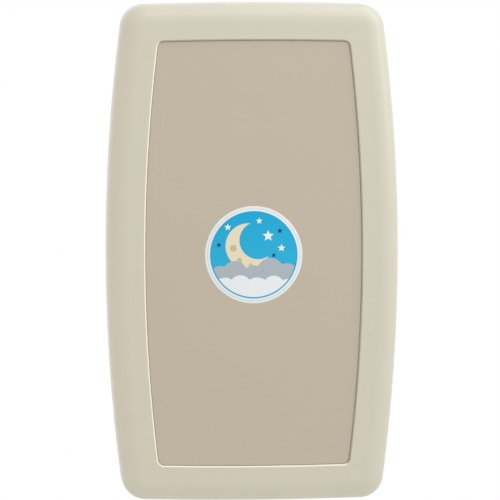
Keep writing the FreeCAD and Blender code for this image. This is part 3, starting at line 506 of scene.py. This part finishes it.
FRONT_CLOUD = [
    (-0.052, -0.062, 0.021),
    (-0.024, -0.057, 0.020),
    (0.006, -0.064, 0.023),
    (0.036, -0.058, 0.020),
    (0.062, -0.064, 0.020),
    (0.000, -0.105, 0.045),
]
STARS = [
    (0.026, 0.034, 0.0105),
    (0.050, 0.012, 0.0072),
    (0.010, 0.061, 0.0060),
    (-0.047, 0.050, 0.0066),
]
NAVY_STARS = [(0.047, 0.043, 0.0055), (0.036, -0.001, 0.0048), (-0.063, 0.018, 0.0050)]
STAR_POINTS = 5
STAR_WAIST = 0.45
FILM_SHEEN = 0.25
FILM_SPOTS = 0.004
FILM_ROUGHNESS = (0.22, 0.32)


def round_edges(piece, wanted, radius, steps):
    # Rounds those edges of a new piece whose two ends pass the test.
    bpy.ops.object.mode_set(mode="EDIT")
    bpy.ops.mesh.select_all(action="DESELECT")
    shape = bmesh.from_edit_mesh(piece.data)
    for edge in shape.edges:
        edge.select_set(wanted(*[v.co for v in edge.verts]))
    bmesh.update_edit_mesh(piece.data)
    bpy.ops.mesh.bevel(offset=radius, segments=steps, affect="EDGES")
    bpy.ops.object.mode_set(mode="OBJECT")


picture_middle_y = panel_low.y - PICTURE_RISE / 2
bpy.ops.mesh.primitive_cylinder_add(
    vertices=PICTURE_SIDES,
    radius=PICTURE_RADIUS,
    depth=PICTURE_RISE,
    location=(0, picture_middle_y, -PICTURE_DROP),
    rotation=(math.pi / 2, 0, 0),
)
picture = bpy.context.object
picture.name = "panel_picture"
bpy.ops.object.transform_apply(location=True, rotation=True)
round_edges(
    picture, lambda a, b: max(a.y, b.y) < picture_middle_y, PICTURE_RISE / 2, PICTURE_ROUND_STEPS
)
bpy.ops.object.shade_smooth_by_angle(angle=PICTURE_SMOOTH)

film = new_material("printed_film")
across = parts_of(place)


def inside(depth):
    # 1 where the depth inside a printed edge is positive, 0 outside, with a soft print edge.
    return ramp(depth, -PRINT_EDGE, PRINT_EDGE, "LINEAR")


def outside(mask):
    return reckon("SUBTRACT", 1.0, mask)


def both(first, second):
    return reckon("MULTIPLY", first, second)


def from_spot(x, z):
    # How far a place on the film lies to the right of a spot, above it and away from it.
    dx = reckon("SUBTRACT", across["X"], x)
    dz = reckon("SUBTRACT", across["Z"], z - PICTURE_DROP)
    squares = reckon("ADD", reckon("POWER", dx, 2), reckon("POWER", dz, 2))
    return dx, dz, reckon("SQRT", squares)


def disc(x, z, radius):
    return inside(reckon("SUBTRACT", radius, from_spot(x, z)[-1]))


def star(x, z, radius):
    # One half point, folded round the middle, is cut off by a straight line.
    dx, dz, reach = from_spot(x, z)
    half_point = math.pi / STAR_POINTS
    turn = reckon("PINGPONG", reckon("ARCTAN2", dx, dz), half_point)
    waist_along = STAR_WAIST * radius * math.cos(half_point)
    waist_across = STAR_WAIST * radius * math.sin(half_point)
    edge_length = math.hypot(radius - waist_along, waist_across)
    along = reckon("MULTIPLY", reach, reckon("COSINE", turn))
    sideways = reckon("MULTIPLY", reach, reckon("SINE", turn))
    inwards = reckon("MULTIPLY", reckon("SUBTRACT", radius, along), waist_across / edge_length)
    outwards = reckon("MULTIPLY", sideways, (radius - waist_along) / edge_length)
    return inside(reckon("SUBTRACT", inwards, outwards))


def bank(discs):
    found = disc(*discs[0])
    for spot in discs[1:]:
        found = reckon("MAXIMUM", found, disc(*spot))
    return found


def print_over(below, mask, ink):
    # Ink of one colour, or another print, laid over what is printed below.
    return blend_colours(mask, below, ink)


paper_tone = cloudy(PAPER_GRAIN)
paper = blend_colours(paper_tone, *[shade(PAPER_WHITE, factor) for factor in PAPER_TONE])
line = both(
    disc(0, 0, BORDER_LINE_RADIUS + BORDER_LINE),
    outside(disc(0, 0, BORDER_LINE_RADIUS - BORDER_LINE)),
)
height = ramp(across["Z"], -FIELD_RADIUS, FIELD_RADIUS, "LINEAR")
sky = blend_colours(height, SKY_LOW, SKY_HIGH)
moon = both(disc(*MOON), outside(disc(*MOON_BITE)))
sky = print_over(sky, moon, MOON_CREAM)
for spot in MOON_SPOTS:
    sky = print_over(sky, both(moon, disc(*spot)), MOON_BEIGE)
for spot in NAVY_STARS:
    sky = print_over(sky, star(*spot), NIGHT_NAVY)
for spot in STARS:
    sky = print_over(sky, star(*spot), CLOUD_WHITE)
sky = print_over(sky, bank(BACK_CLOUD), CLOUD_GREY)
sky = print_over(sky, bank(FRONT_CLOUD), CLOUD_WHITE)
sky = print_over(sky, outside(disc(0, 0, FIELD_RADIUS - FIELD_RIM)), SKY_HIGH)
drawing = print_over(paper, line, LINE_GREY)
drawing = print_over(drawing, disc(0, 0, FIELD_RADIUS), sky)
tree.links.new(drawing, shader.inputs["Base Color"])
roughen(FILM_ROUGHNESS, cloudy(FILM_SPOTS))
shader.inputs["Specular IOR Level"].default_value = FILM_SHEEN
raise_grain(paper_tone, PAPER_DEPTH)
coat(picture, film)
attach(picture, "bed")

# Hinge steel: arms, brackets, rod, retaining rings and crank stud, with the small pins, strap
# bars and catch plate, pressed or turned from steel and zinc plated.
ZINC = (0.60, 0.61, 0.62)
ZINC_WARM = (0.60, 0.585, 0.54)
ZINC_SPOTS = 0.014
ZINC_ROUGHNESS = (0.30, 0.42)
ZINC_ROUND = 0.0005
BRUSH_LENGTH = 0.012
BRUSH_WIDTH = 0.0005
BRUSH_DEPTH = 0.00001

zinc_steel = new_material("zinc_steel")
stretched = tree.nodes.new("ShaderNodeMapping")
stretched.inputs["Scale"].default_value = (1, 1, BRUSH_WIDTH / BRUSH_LENGTH)
tree.links.new(place, stretched.inputs["Vector"])
brushed = cloudy(BRUSH_WIDTH, where=stretched.outputs["Vector"])
plating = blend_colours(spread(cloudy(ZINC_SPOTS), 0, 1), ZINC, ZINC_WARM)
tree.links.new(plating, shader.inputs["Base Color"])
shader.inputs["Metallic"].default_value = 1.0
roughen(ZINC_ROUGHNESS, brushed)
raise_grain(brushed, BRUSH_DEPTH, ZINC_ROUND)
dress(
    zinc_steel,
    "hinge_arm_left",
    "hinge_arm_right",
    "hinge_bracket_left",
    "hinge_bracket_right",
    "hinge_rod",
    "hinge_rod_rings",
    "cam_stud",
    "door_hinge_pins",
    "catch_strike",
    "strap_anchors",
    "buckle_pin",
)

# Screws: pan heads with a cross recess, of zinc-plated steel. They hold the bed's two halves
# and its hinge brackets, the base on its frame, and the bag hooks.
SCREW_HEAD = 0.0024
SCREW_HEAD_SIDES = 32
SCREW_SHANK_RADIUS = 0.0019
SCREW_SHANK_SIDES = 16
SCREW_TIP = 0.8
HEAD_ROUND = 0.0009
HEAD_ROUND_STEPS = 4
RECESS_WIDTH = 0.0011
RECESS_SPAN = 0.0044
RECESS_DEPTH = 0.0014
NEXT_TURN = 0.7
SAME_CORNER = 0.000001
HEAD_TO_WALL = Matrix.Rotation(-math.pi / 2, 4, "X")
HEAD_TO_FRONT = Matrix.Rotation(math.pi / 2, 4, "X")


def solids_in(name):
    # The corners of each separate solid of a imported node, in order of place.
    shape = bmesh.new()
    shape.from_mesh(nodes[name].data)
    bmesh.ops.remove_doubles(shape, verts=shape.verts, dist=SAME_CORNER)
    waiting = set(shape.verts)
    corners = []
    while waiting:
        reached = [waiting.pop()]
        for vert in reached:
            for edge in vert.link_edges:
                other = edge.other_vert(vert)
                if other in waiting:
                    waiting.remove(other)
                    reached.append(other)
        low = Vector([min(v.co[i] for v in reached) for i in range(3)])
        high = Vector([max(v.co[i] for v in reached) for i in range(3)])
        corners.append((low, high))
    shape.free()
    return sorted(corners, key=lambda corner: tuple(corner[0]))


def cut_away(target, cutter):
    bpy.ops.object.select_all(action="DESELECT")
    bpy.context.view_layer.objects.active = target
    target.select_set(True)
    cut = target.modifiers.new("cut", "BOOLEAN")
    cut.operation = "DIFFERENCE"
    cut.solver = "EXACT"
    cut.object = cutter
    bpy.ops.object.modifier_apply(modifier=cut.name)
    bpy.data.objects.remove(cutter)


def copied(pattern, places):
    # Copies of one object at the given places, each with its own mesh.
    copies = []
    for matrix in places:
        copy = bpy.data.objects.new(pattern.name, pattern.data.copy())
        bpy.context.scene.collection.objects.link(copy)
        copy.matrix_world = matrix
        copies.append(copy)
    bpy.data.objects.remove(pattern)
    return copies


def joined(name, objects):
    # One object of several, with its place in its mesh.
    bpy.ops.object.select_all(action="DESELECT")
    for part in objects:
        part.select_set(True)
    bpy.context.view_layer.objects.active = objects[0]
    bpy.ops.object.join()
    whole = bpy.context.object
    whole.name = name
    bpy.ops.object.transform_apply(location=True, rotation=True, scale=True)
    return whole


def pan_head_screw(head_radius, length):
    # A screw that hangs from the origin with its head up, along +Z.
    bpy.ops.object.select_all(action="DESELECT")
    bpy.ops.mesh.primitive_cylinder_add(
        vertices=SCREW_HEAD_SIDES, radius=head_radius, depth=SCREW_HEAD
    )
    head = bpy.context.object
    round_edges(head, lambda a, b: min(a.z, b.z) > 0, HEAD_ROUND, HEAD_ROUND_STEPS)
    for turn in (0, math.pi / 2):
        bpy.ops.mesh.primitive_cube_add(
            size=1, location=(0, 0, SCREW_HEAD / 2), rotation=(0, 0, turn)
        )
        blade = bpy.context.object
        blade.scale = (RECESS_SPAN, RECESS_WIDTH, 2 * RECESS_DEPTH)
        cut_away(head, blade)
    head.location.z = -SCREW_HEAD / 2
    reach = length - SCREW_HEAD
    bpy.ops.mesh.primitive_cylinder_add(
        vertices=SCREW_SHANK_SIDES,
        radius=SCREW_SHANK_RADIUS,
        depth=reach,
        location=(0, 0, -SCREW_HEAD - reach / 2),
    )
    shank = bpy.context.object
    round_edges(shank, lambda a, b: max(a.z, b.z) < 0, SCREW_TIP * SCREW_SHANK_RADIUS, 1)
    screw = joined("screw", [head, shank])
    bpy.ops.object.shade_smooth_by_angle(angle=SMOOTH_ANGLE)
    return screw


def fit_fasteners(name, pattern, spots, turn, body, replaced):
    # Copies of one fastener at the given places, each turned about its axis by another angle.
    places = []
    for count, spot in enumerate(spots):
        about_axis = Matrix.Rotation(NEXT_TURN * count, 4, "Z")
        places.append(Matrix.Translation(spot) @ turn @ about_axis)
    fitted = joined(name, copied(pattern, places))
    coat(fitted, zinc_steel)
    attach(fitted, body)
    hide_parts(replaced)


for replaced, body, turn in (
    ("bed_screws", "bed", HEAD_TO_WALL),
    ("base_screws", "wall_unit", HEAD_TO_FRONT),
    ("hook_screws", "wall_unit", HEAD_TO_FRONT),
):
    spots = []
    for low, high in solids_in(replaced):
        middle = (low + high) / 2
        spots.append(Vector((middle.x, high.y if turn is HEAD_TO_WALL else low.y, middle.z)))
    screw = pan_head_screw((high.x - low.x) / 2, high.y - low.y)
    fit_fasteners(replaced + "_cross_recess", screw, spots, turn, body, replaced)

# Hinge arm bolts: hexagon bolts run through arm and upright and closed by a nut, zinc plated
# like the arms.
BOLT_SHANK_RADIUS = 0.003
BOLT_SHANK_SIDES = 20
BOLT_HEAD = 0.0030
BOLT_NUT = 0.0045
NUT_SHARE = 0.9
HEX_CHAMFER = 0.0006
HEX_CHAMFER_STEPS = 2


def hexagon(corner_radius, thick, middle_z, chamfered_up):
    # A hexagonal head or nut with its outer corners taken off.
    bpy.ops.object.select_all(action="DESELECT")
    bpy.ops.mesh.primitive_cylinder_add(
        vertices=6, radius=corner_radius, depth=thick, location=(0, 0, middle_z)
    )
    hexagonal = bpy.context.object
    round_edges(
        hexagonal,
        lambda a, b: (a.z > 0) == (b.z > 0) == chamfered_up,
        HEX_CHAMFER,
        HEX_CHAMFER_STEPS,
    )
    return hexagonal


arm_bolts = solids_in("hinge_arm_bolts")
bolt_low, bolt_high = arm_bolts[0]
bolt_length = bolt_high.x - bolt_low.x
bolt_corner = (bolt_high.z - bolt_low.z) / 2
for side, name in ((-1, "hinge_arm_bolts_left"), (1, "hinge_arm_bolts_right")):
    spots = []
    for low, high in arm_bolts:
        if side * low.x > 0:
            middle = (low + high) / 2
            spots.append(Vector((low.x if side > 0 else high.x, middle.y, middle.z)))
    bolt_head = hexagon(bolt_corner, BOLT_HEAD, -BOLT_HEAD / 2, True)
    bolt_nut = hexagon(NUT_SHARE * bolt_corner, BOLT_NUT, BOLT_NUT / 2 - bolt_length, False)
    bpy.ops.mesh.primitive_cylinder_add(
        vertices=BOLT_SHANK_SIDES,
        radius=BOLT_SHANK_RADIUS,
        depth=bolt_length,
        location=(0, 0, -bolt_length / 2),
    )
    bolt = joined("bolt", [bolt_head, bolt_nut, bpy.context.object])
    bpy.ops.object.shade_smooth_by_angle(angle=SMOOTH_ANGLE)
    turn = Matrix.Rotation(-side * math.pi / 2, 4, "Y")
    fit_fasteners(name, bolt, spots, turn, "wall_unit", "hinge_arm_bolts")

# Closing bumpers: soft black rubber pads with a stem, pushed into holes of the base. The bed
# lies against them when it is up.
RUBBER = (0.020, 0.020, 0.021)
RUBBER_TONE = (0.7, 1.7)
RUBBER_ROUGHNESS = (0.7, 0.85)
RUBBER_DUST = 0.003
DUST_DETAIL = 4.0
RUBBER_GRAIN = 0.0006
RUBBER_DEPTH = 0.00004
RUBBER_ROUND = 0.0012

bumper_rubber = new_material("bumper_rubber")
dust = cloudy(RUBBER_DUST, DUST_DETAIL)
tint(RUBBER, RUBBER_TONE, dust)
roughen(RUBBER_ROUGHNESS, dust)
raise_grain(cloudy(RUBBER_GRAIN), RUBBER_DEPTH, RUBBER_ROUND)
dress(bumper_rubber, "closing_bumpers")

# Nylon pieces: hinge bushes, cylinder gland, cylinder clamps and rod foot, turned or moulded in
# natural nylon that lets a little light in.
NYLON = (0.70, 0.68, 0.62)
NYLON_TONE = (0.93, 1.05)
NYLON_ROUGHNESS = (0.35, 0.5)
NYLON_HAZE = 0.006
NYLON_GLOW = 0.15
NYLON_GLOW_REACH = (0.003, 0.003, 0.002)
NYLON_GRAIN = 0.0009
NYLON_DEPTH = 0.00002
NYLON_ROUND = 0.0006

natural_nylon = new_material("natural_nylon")
haze = cloudy(NYLON_HAZE)
tint(NYLON, NYLON_TONE, haze)
roughen(NYLON_ROUGHNESS, haze)
shader.inputs["Subsurface Weight"].default_value = NYLON_GLOW
shader.inputs["Subsurface Radius"].default_value = NYLON_GLOW_REACH
raise_grain(cloudy(NYLON_GRAIN), NYLON_DEPTH, NYLON_ROUND)
dress(natural_nylon, "hinge_bushes", "cylinder_gland", "cylinder_clamps", "rod_foot")

# Gas spring and catch: a drawn steel tube in black gloss paint with a ground and chromed rod. The
# door's magnet sits in a case of the same black.
GLOSS_BLACK = (0.014, 0.014, 0.015)
GLOSS_TONE = (0.8, 1.3)
GLOSS_ROUGHNESS = (0.16, 0.26)
GLOSS_RIPPLE = 0.005
GLOSS_DEPTH = 0.00003
GLOSS_ROUND = 0.0006
CHROME = (0.78, 0.79, 0.80)
CHROME_TONE = (0.96, 1.02)
CHROME_ROUGHNESS = (0.06, 0.12)
CHROME_POLISH = 0.0015
CHROME_DEPTH = 0.000004

gloss_black = new_material("gloss_black")
ripple = cloudy(GLOSS_RIPPLE)
tint(GLOSS_BLACK, GLOSS_TONE, ripple)
roughen(GLOSS_ROUGHNESS, ripple)
raise_grain(ripple, GLOSS_DEPTH, GLOSS_ROUND)
dress(gloss_black, "gas_cylinder", "catch_magnet")

chromed_rod = new_material("chromed_rod")
polish = cloudy(CHROME_POLISH)
tint(CHROME, CHROME_TONE, polish)
shader.inputs["Metallic"].default_value = 1.0
roughen(CHROME_ROUGHNESS, polish)
raise_grain(polish, CHROME_DEPTH)
dress(chromed_rod, "gas_rod")

# Safety strap: two lengths of woven nylon webbing. Each is looped round a steel bar behind a slot
# of the bed pan; the left one is sewn round the buckle's end bar, the right one runs through it.
WEBBING_THICK = 0.0016
WEBBING_FLAT = 0.040
WEBBING_SAG = 0.024
WEBBING_LAY = 0.0001
WEBBING_TAIL = 0.110
WEBBING_OVERLAP = 0.060
WEBBING_ROWS = 8
SELVEDGE_SHARE = 0.3
SELVEDGE_STEPS = 2
SELVEDGE_ANGLE = math.radians(60)
WEBBING_SMOOTH = math.radians(50)
SLOT_WALL = 0.004
SWEEP_STEPS = 24
LOOP_STEPS = 20
LOOP_LAID = 18
TAIL_STEPS = 14
TURN_STEPS = 8
MIDDLE_STEPS = (-0.6, -0.2, 0.2, 0.6)
BUCKLE_END_BAR = 0.008
BUCKLE_PLATE = 0.002
WEBBING_GREY = (0.030, 0.031, 0.034)
WEBBING_TONE = (0.55, 1.5)
WEBBING_ROUGHNESS = (0.55, 0.7)
WEBBING_SPOTS = 0.002
WEBBING_SHEEN = 0.3
WEAVE_DEPTH = 0.00025
WEAVE_FLOAT = 0.35
RIB_PITCH = 0.0016
COLUMN_PITCH = 0.0024

anchor_low, anchor_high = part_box("strap_anchors")
bar_radius = (anchor_high.y - anchor_low.y) / 2
bar_x = anchor_high.x - bar_radius
bar_y = (anchor_low.y + anchor_high.y) / 2
strap_low, strap_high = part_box("strap_right")
webbing_width = strap_high.z - strap_low.z
webbing_z = (strap_low.z + strap_high.z) / 2
loop_radius = bar_radius + WEBBING_THICK / 2
slot_x = bar_x - bar_radius - WEBBING_THICK - SLOT_WALL
flat_y = bar_y - WEBBING_SAG
lower_drop = WEBBING_THICK + WEBBING_LAY
sweep = slot_x - WEBBING_FLAT
sweep_radius = (sweep**2 + WEBBING_SAG**2) / (2 * WEBBING_SAG)


def webbing_height(x, drop):
    # Flat under the buckle, then an arc up to the slot.
    run = max(abs(x) - WEBBING_FLAT, 0)
    rise = sweep_radius - math.sqrt(sweep_radius**2 - run**2)
    return flat_y - drop * (1 - run / sweep) + rise


def tail_height(x):
    # The loose end of the right strap, on top of the left strap.
    return webbing_height(x, lower_drop) + lower_drop + WEBBING_LAY


def round_bar(x, y, radius, angle):
    return x + radius * math.cos(angle), y + radius * math.sin(angle)


def run_to_bar(side, drop):
    # From the flat middle up to the slot and round the bar.
    points = []
    for step in range(SWEEP_STEPS + 1):
        x = WEBBING_FLAT + sweep * step / SWEEP_STEPS
        points.append((x, webbing_height(x, drop)))
    for step in range(LOOP_LAID + 1):
        angle = math.pi - 2 * math.pi * step / LOOP_STEPS
        points.append(round_bar(bar_x, bar_y, loop_radius, angle))
    return [(side * x, y) for x, y in points]


def lay_webbing(name, points):
    # A strip on the given line, thickened, with soft selvedges and a map that runs along it.
    bpy.ops.object.select_all(action="DESELECT")
    bpy.ops.mesh.primitive_grid_add(
        x_subdivisions=len(points) - 1, y_subdivisions=WEBBING_ROWS, size=1
    )
    strip = bpy.context.object
    strip.name = name
    along = [0.0]
    for a, b in zip(points, points[1:]):
        along.append(along[-1] + math.dist(a, b))
    for loop, corner in zip(strip.data.loops, strip.data.uv_layers.active.data):
        at = strip.data.vertices[loop.vertex_index].co
        step = round((at.x + 0.5) * (len(points) - 1))
        corner.uv = (along[step], at.y * webbing_width)
    for vert in strip.data.vertices:
        step = round((vert.co.x + 0.5) * (len(points) - 1))
        vert.co = (*points[step], webbing_z + vert.co.y * webbing_width)
    thicken = strip.modifiers.new("thicken", "SOLIDIFY")
    thicken.thickness = WEBBING_THICK
    thicken.offset = 0
    bpy.ops.object.modifier_apply(modifier=thicken.name)
    soften = strip.modifiers.new("soften", "BEVEL")
    soften.width = SELVEDGE_SHARE * WEBBING_THICK
    soften.segments = SELVEDGE_STEPS
    soften.limit_method = "ANGLE"
    soften.angle_limit = SELVEDGE_ANGLE
    bpy.ops.object.modifier_apply(modifier=soften.name)
    bpy.ops.object.shade_smooth_by_angle(angle=WEBBING_SMOOTH)
    coat(strip, nylon_webbing)
    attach(strip, "bed")
    return strip


nylon_webbing = new_material("nylon_webbing")
weave_place = parts_of(tree.nodes.new("ShaderNodeUVMap").outputs["UV"])
column = reckon("DIVIDE", weave_place["Y"], COLUMN_PITCH)
pick = reckon("DIVIDE", weave_place["X"], RIB_PITCH)
half_step = reckon("MULTIPLY", reckon("FLOOR", column), 0.5)
float_turn = reckon("MULTIPLY", reckon("ADD", pick, half_step), 2 * math.pi)
float_wave = reckon("MULTIPLY_ADD", reckon("SINE", float_turn), WEAVE_FLOAT, 1 - WEAVE_FLOAT)
yarn_wave = reckon("ABSOLUTE", reckon("SINE", reckon("MULTIPLY", column, math.pi)))
weave = reckon("MULTIPLY", float_wave, yarn_wave)
tint(WEBBING_GREY, WEBBING_TONE, weave)
roughen(WEBBING_ROUGHNESS, cloudy(WEBBING_SPOTS))
shader.inputs["Sheen Weight"].default_value = WEBBING_SHEEN
raise_grain(weave, WEAVE_DEPTH)

tail = []
for step in range(TAIL_STEPS + 1):
    x = -WEBBING_TAIL + (WEBBING_TAIL - WEBBING_FLAT) * step / TAIL_STEPS
    tail.append((x, tail_height(x)))
middle_run = [(step * WEBBING_FLAT, flat_y) for step in MIDDLE_STEPS]
right_strap = lay_webbing("strap_right_webbing", tail + middle_run + run_to_bar(1, 0))
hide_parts("strap_right")

buckle_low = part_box("buckle_body")[0]
upper_y = flat_y - lower_drop
under_y = upper_y - WEBBING_THICK - BUCKLE_PLATE
turn_radius = (upper_y - under_y) / 2
turn_x = buckle_low.x + BUCKLE_END_BAR + WEBBING_THICK / 2 - turn_radius
sewn_x = buckle_low.x - WEBBING_THICK
sewn_y = webbing_height(WEBBING_OVERLAP, lower_drop) - WEBBING_THICK - 2 * WEBBING_LAY
left_run = run_to_bar(-1, lower_drop)[::-1]
for step in range(TURN_STEPS + 1):
    angle = math.pi / 2 - math.pi * step / TURN_STEPS
    left_run.append(round_bar(turn_x, (upper_y + under_y) / 2, turn_radius, angle))
left_run += [(sewn_x, under_y), (-WEBBING_OVERLAP, sewn_y)]
left_strap = lay_webbing("strap_left_webbing", left_run)
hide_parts("strap_left")

# Stitching: a hem of two rows across the strap's loose end, and a sewn box with a cross under the
# left strap, in grey thread.
STITCH_LENGTH = 0.0032
STITCH_GAP = 0.0010
THREAD_RADIUS = 0.00035
THREAD_SIDES = 8
THREAD_RINGS = 6
THREAD_MIDDLE = 0.000035
THREAD_GREY = (0.16, 0.16, 0.17)
THREAD_TONE = (0.7, 1.4)
THREAD_ROUGHNESS = (0.5, 0.65)
THREAD_TWIST = 0.0004
THREAD_DEPTH = 0.00008
HEM_ROWS = (0.0045, 0.0085)
SEAM_MARGIN = 0.004

sewing_thread = new_material("sewing_thread")
twist = cloudy(THREAD_TWIST)
tint(THREAD_GREY, THREAD_TONE, twist)
roughen(THREAD_ROUGHNESS, twist)
raise_grain(twist, THREAD_DEPTH)


def one_stitch():
    # A length of thread along Z that stands up along X in its middle and dips in at both ends.
    bpy.ops.object.select_all(action="DESELECT")
    bpy.ops.mesh.primitive_uv_sphere_add(
        segments=THREAD_SIDES, ring_count=THREAD_RINGS, radius=THREAD_RADIUS
    )
    stitch = bpy.context.object
    stretch = STITCH_LENGTH / 2 - THREAD_RADIUS
    for end in (-1, 1):
        bpy.ops.object.mode_set(mode="EDIT")
        bpy.ops.mesh.select_all(action="DESELECT")
        shape = bmesh.from_edit_mesh(stitch.data)
        for vert in shape.verts:
            vert.select_set(end * vert.co.z > THREAD_MIDDLE)
        bmesh.update_edit_mesh(stitch.data)
        bpy.ops.transform.translate(value=(-THREAD_RADIUS, 0, end * stretch))
        bpy.ops.object.mode_set(mode="OBJECT")
    return stitch


def along_seams(seams):
    # The place of each stitch on straight seams, given by both ends and the side that it shows on.
    places = []
    for first, last, outwards in seams:
        run = (last - first).normalized()
        sideways = run.cross(outwards).normalized()
        turn = Matrix((sideways.cross(run), sideways, run)).transposed().to_4x4()
        count = max(1, round((last - first).length / (STITCH_LENGTH + STITCH_GAP)))
        for step in range(count):
            places.append(Matrix.Translation(first.lerp(last, (step + 0.5) / count)) @ turn)
    return places


def on_tail(x, z):
    return Vector((x, tail_height(x) + WEBBING_THICK / 2, z))


def under_left(x, z):
    share = (x + WEBBING_OVERLAP) / (sewn_x + WEBBING_OVERLAP)
    return Vector((x, sewn_y + share * (under_y - sewn_y) - WEBBING_THICK / 2, z))


seam_low = webbing_z - webbing_width / 2 + SEAM_MARGIN
seam_high = webbing_z + webbing_width / 2 - SEAM_MARGIN
seam_out = SEAM_MARGIN - WEBBING_OVERLAP
seam_in = buckle_low.x - 2 * SEAM_MARGIN
towards_wall = Vector((0, 1, 0))
seams = []
for row in HEM_ROWS:
    hem_x = row - WEBBING_TAIL
    seams.append((on_tail(hem_x, seam_low), on_tail(hem_x, seam_high), towards_wall))
box_corners = [
    under_left(seam_out, seam_low),
    under_left(seam_in, seam_low),
    under_left(seam_in, seam_high),
    under_left(seam_out, seam_high),
]
for first, last in ((0, 1), (1, 2), (2, 3), (3, 0), (0, 2), (1, 3)):
    seams.append((box_corners[first], box_corners[last], -towards_wall))
stitching = joined("strap_stitching", copied(one_stitch(), along_seams(seams)))
bpy.ops.object.shade_smooth()
coat(stitching, sewing_thread)
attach(stitching, "bed")

# Buckle: a plate with an end bar and a cam that a lever lifts, moulded in black nylon. Ribs near
# the lever's tip give the thumb a hold.
BUCKLE_BLACK = (0.022, 0.022, 0.023)
BUCKLE_TONE = (0.75, 1.4)
BUCKLE_ROUGHNESS = (0.38, 0.5)
BUCKLE_SPOTS = 0.004
BUCKLE_GRAIN = 0.0005
BUCKLE_DEPTH = 0.00003
BUCKLE_ROUND = 0.0006
GRIP_RIBS = 4
GRIP_RADIUS = 0.0007
GRIP_SIDES = 16
GRIP_PITCH = 0.0024
GRIP_MARGIN = 0.005
GRIP_INSET = 0.0014
GRIP_ROUND = 0.0005
GRIP_ROUND_STEPS = 3
GRIP_SINK = 0.0006
GRIP_SMOOTH = math.radians(40)

buckle_nylon = new_material("buckle_nylon")
sparkle = cloudy(BUCKLE_GRAIN)
tint(BUCKLE_BLACK, BUCKLE_TONE, sparkle)
roughen(BUCKLE_ROUGHNESS, cloudy(BUCKLE_SPOTS))
raise_grain(sparkle, BUCKLE_DEPTH, BUCKLE_ROUND)
dress(buckle_nylon, "buckle_body", "buckle_cam")

cam_low, cam_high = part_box("buckle_cam")
bpy.ops.object.select_all(action="DESELECT")
bpy.ops.mesh.primitive_cylinder_add(
    vertices=GRIP_SIDES, radius=GRIP_RADIUS, depth=cam_high.z - cam_low.z - 2 * GRIP_INSET
)
rib = bpy.context.object
round_edges(rib, lambda a, b: a.z * b.z > 0, GRIP_ROUND, GRIP_ROUND_STEPS)
rib_z = (cam_low.z + cam_high.z) / 2
places = []
for count in range(GRIP_RIBS):
    rib_x = cam_low.x + GRIP_MARGIN + count * GRIP_PITCH
    places.append(Matrix.Translation((rib_x, cam_high.y - GRIP_SINK, rib_z)))
grip = joined("buckle_grip_ribs", copied(rib, places))
bpy.ops.object.shade_smooth_by_angle(angle=GRIP_SMOOTH)
coat(grip, buckle_nylon)
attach(grip, "buckle_cam")
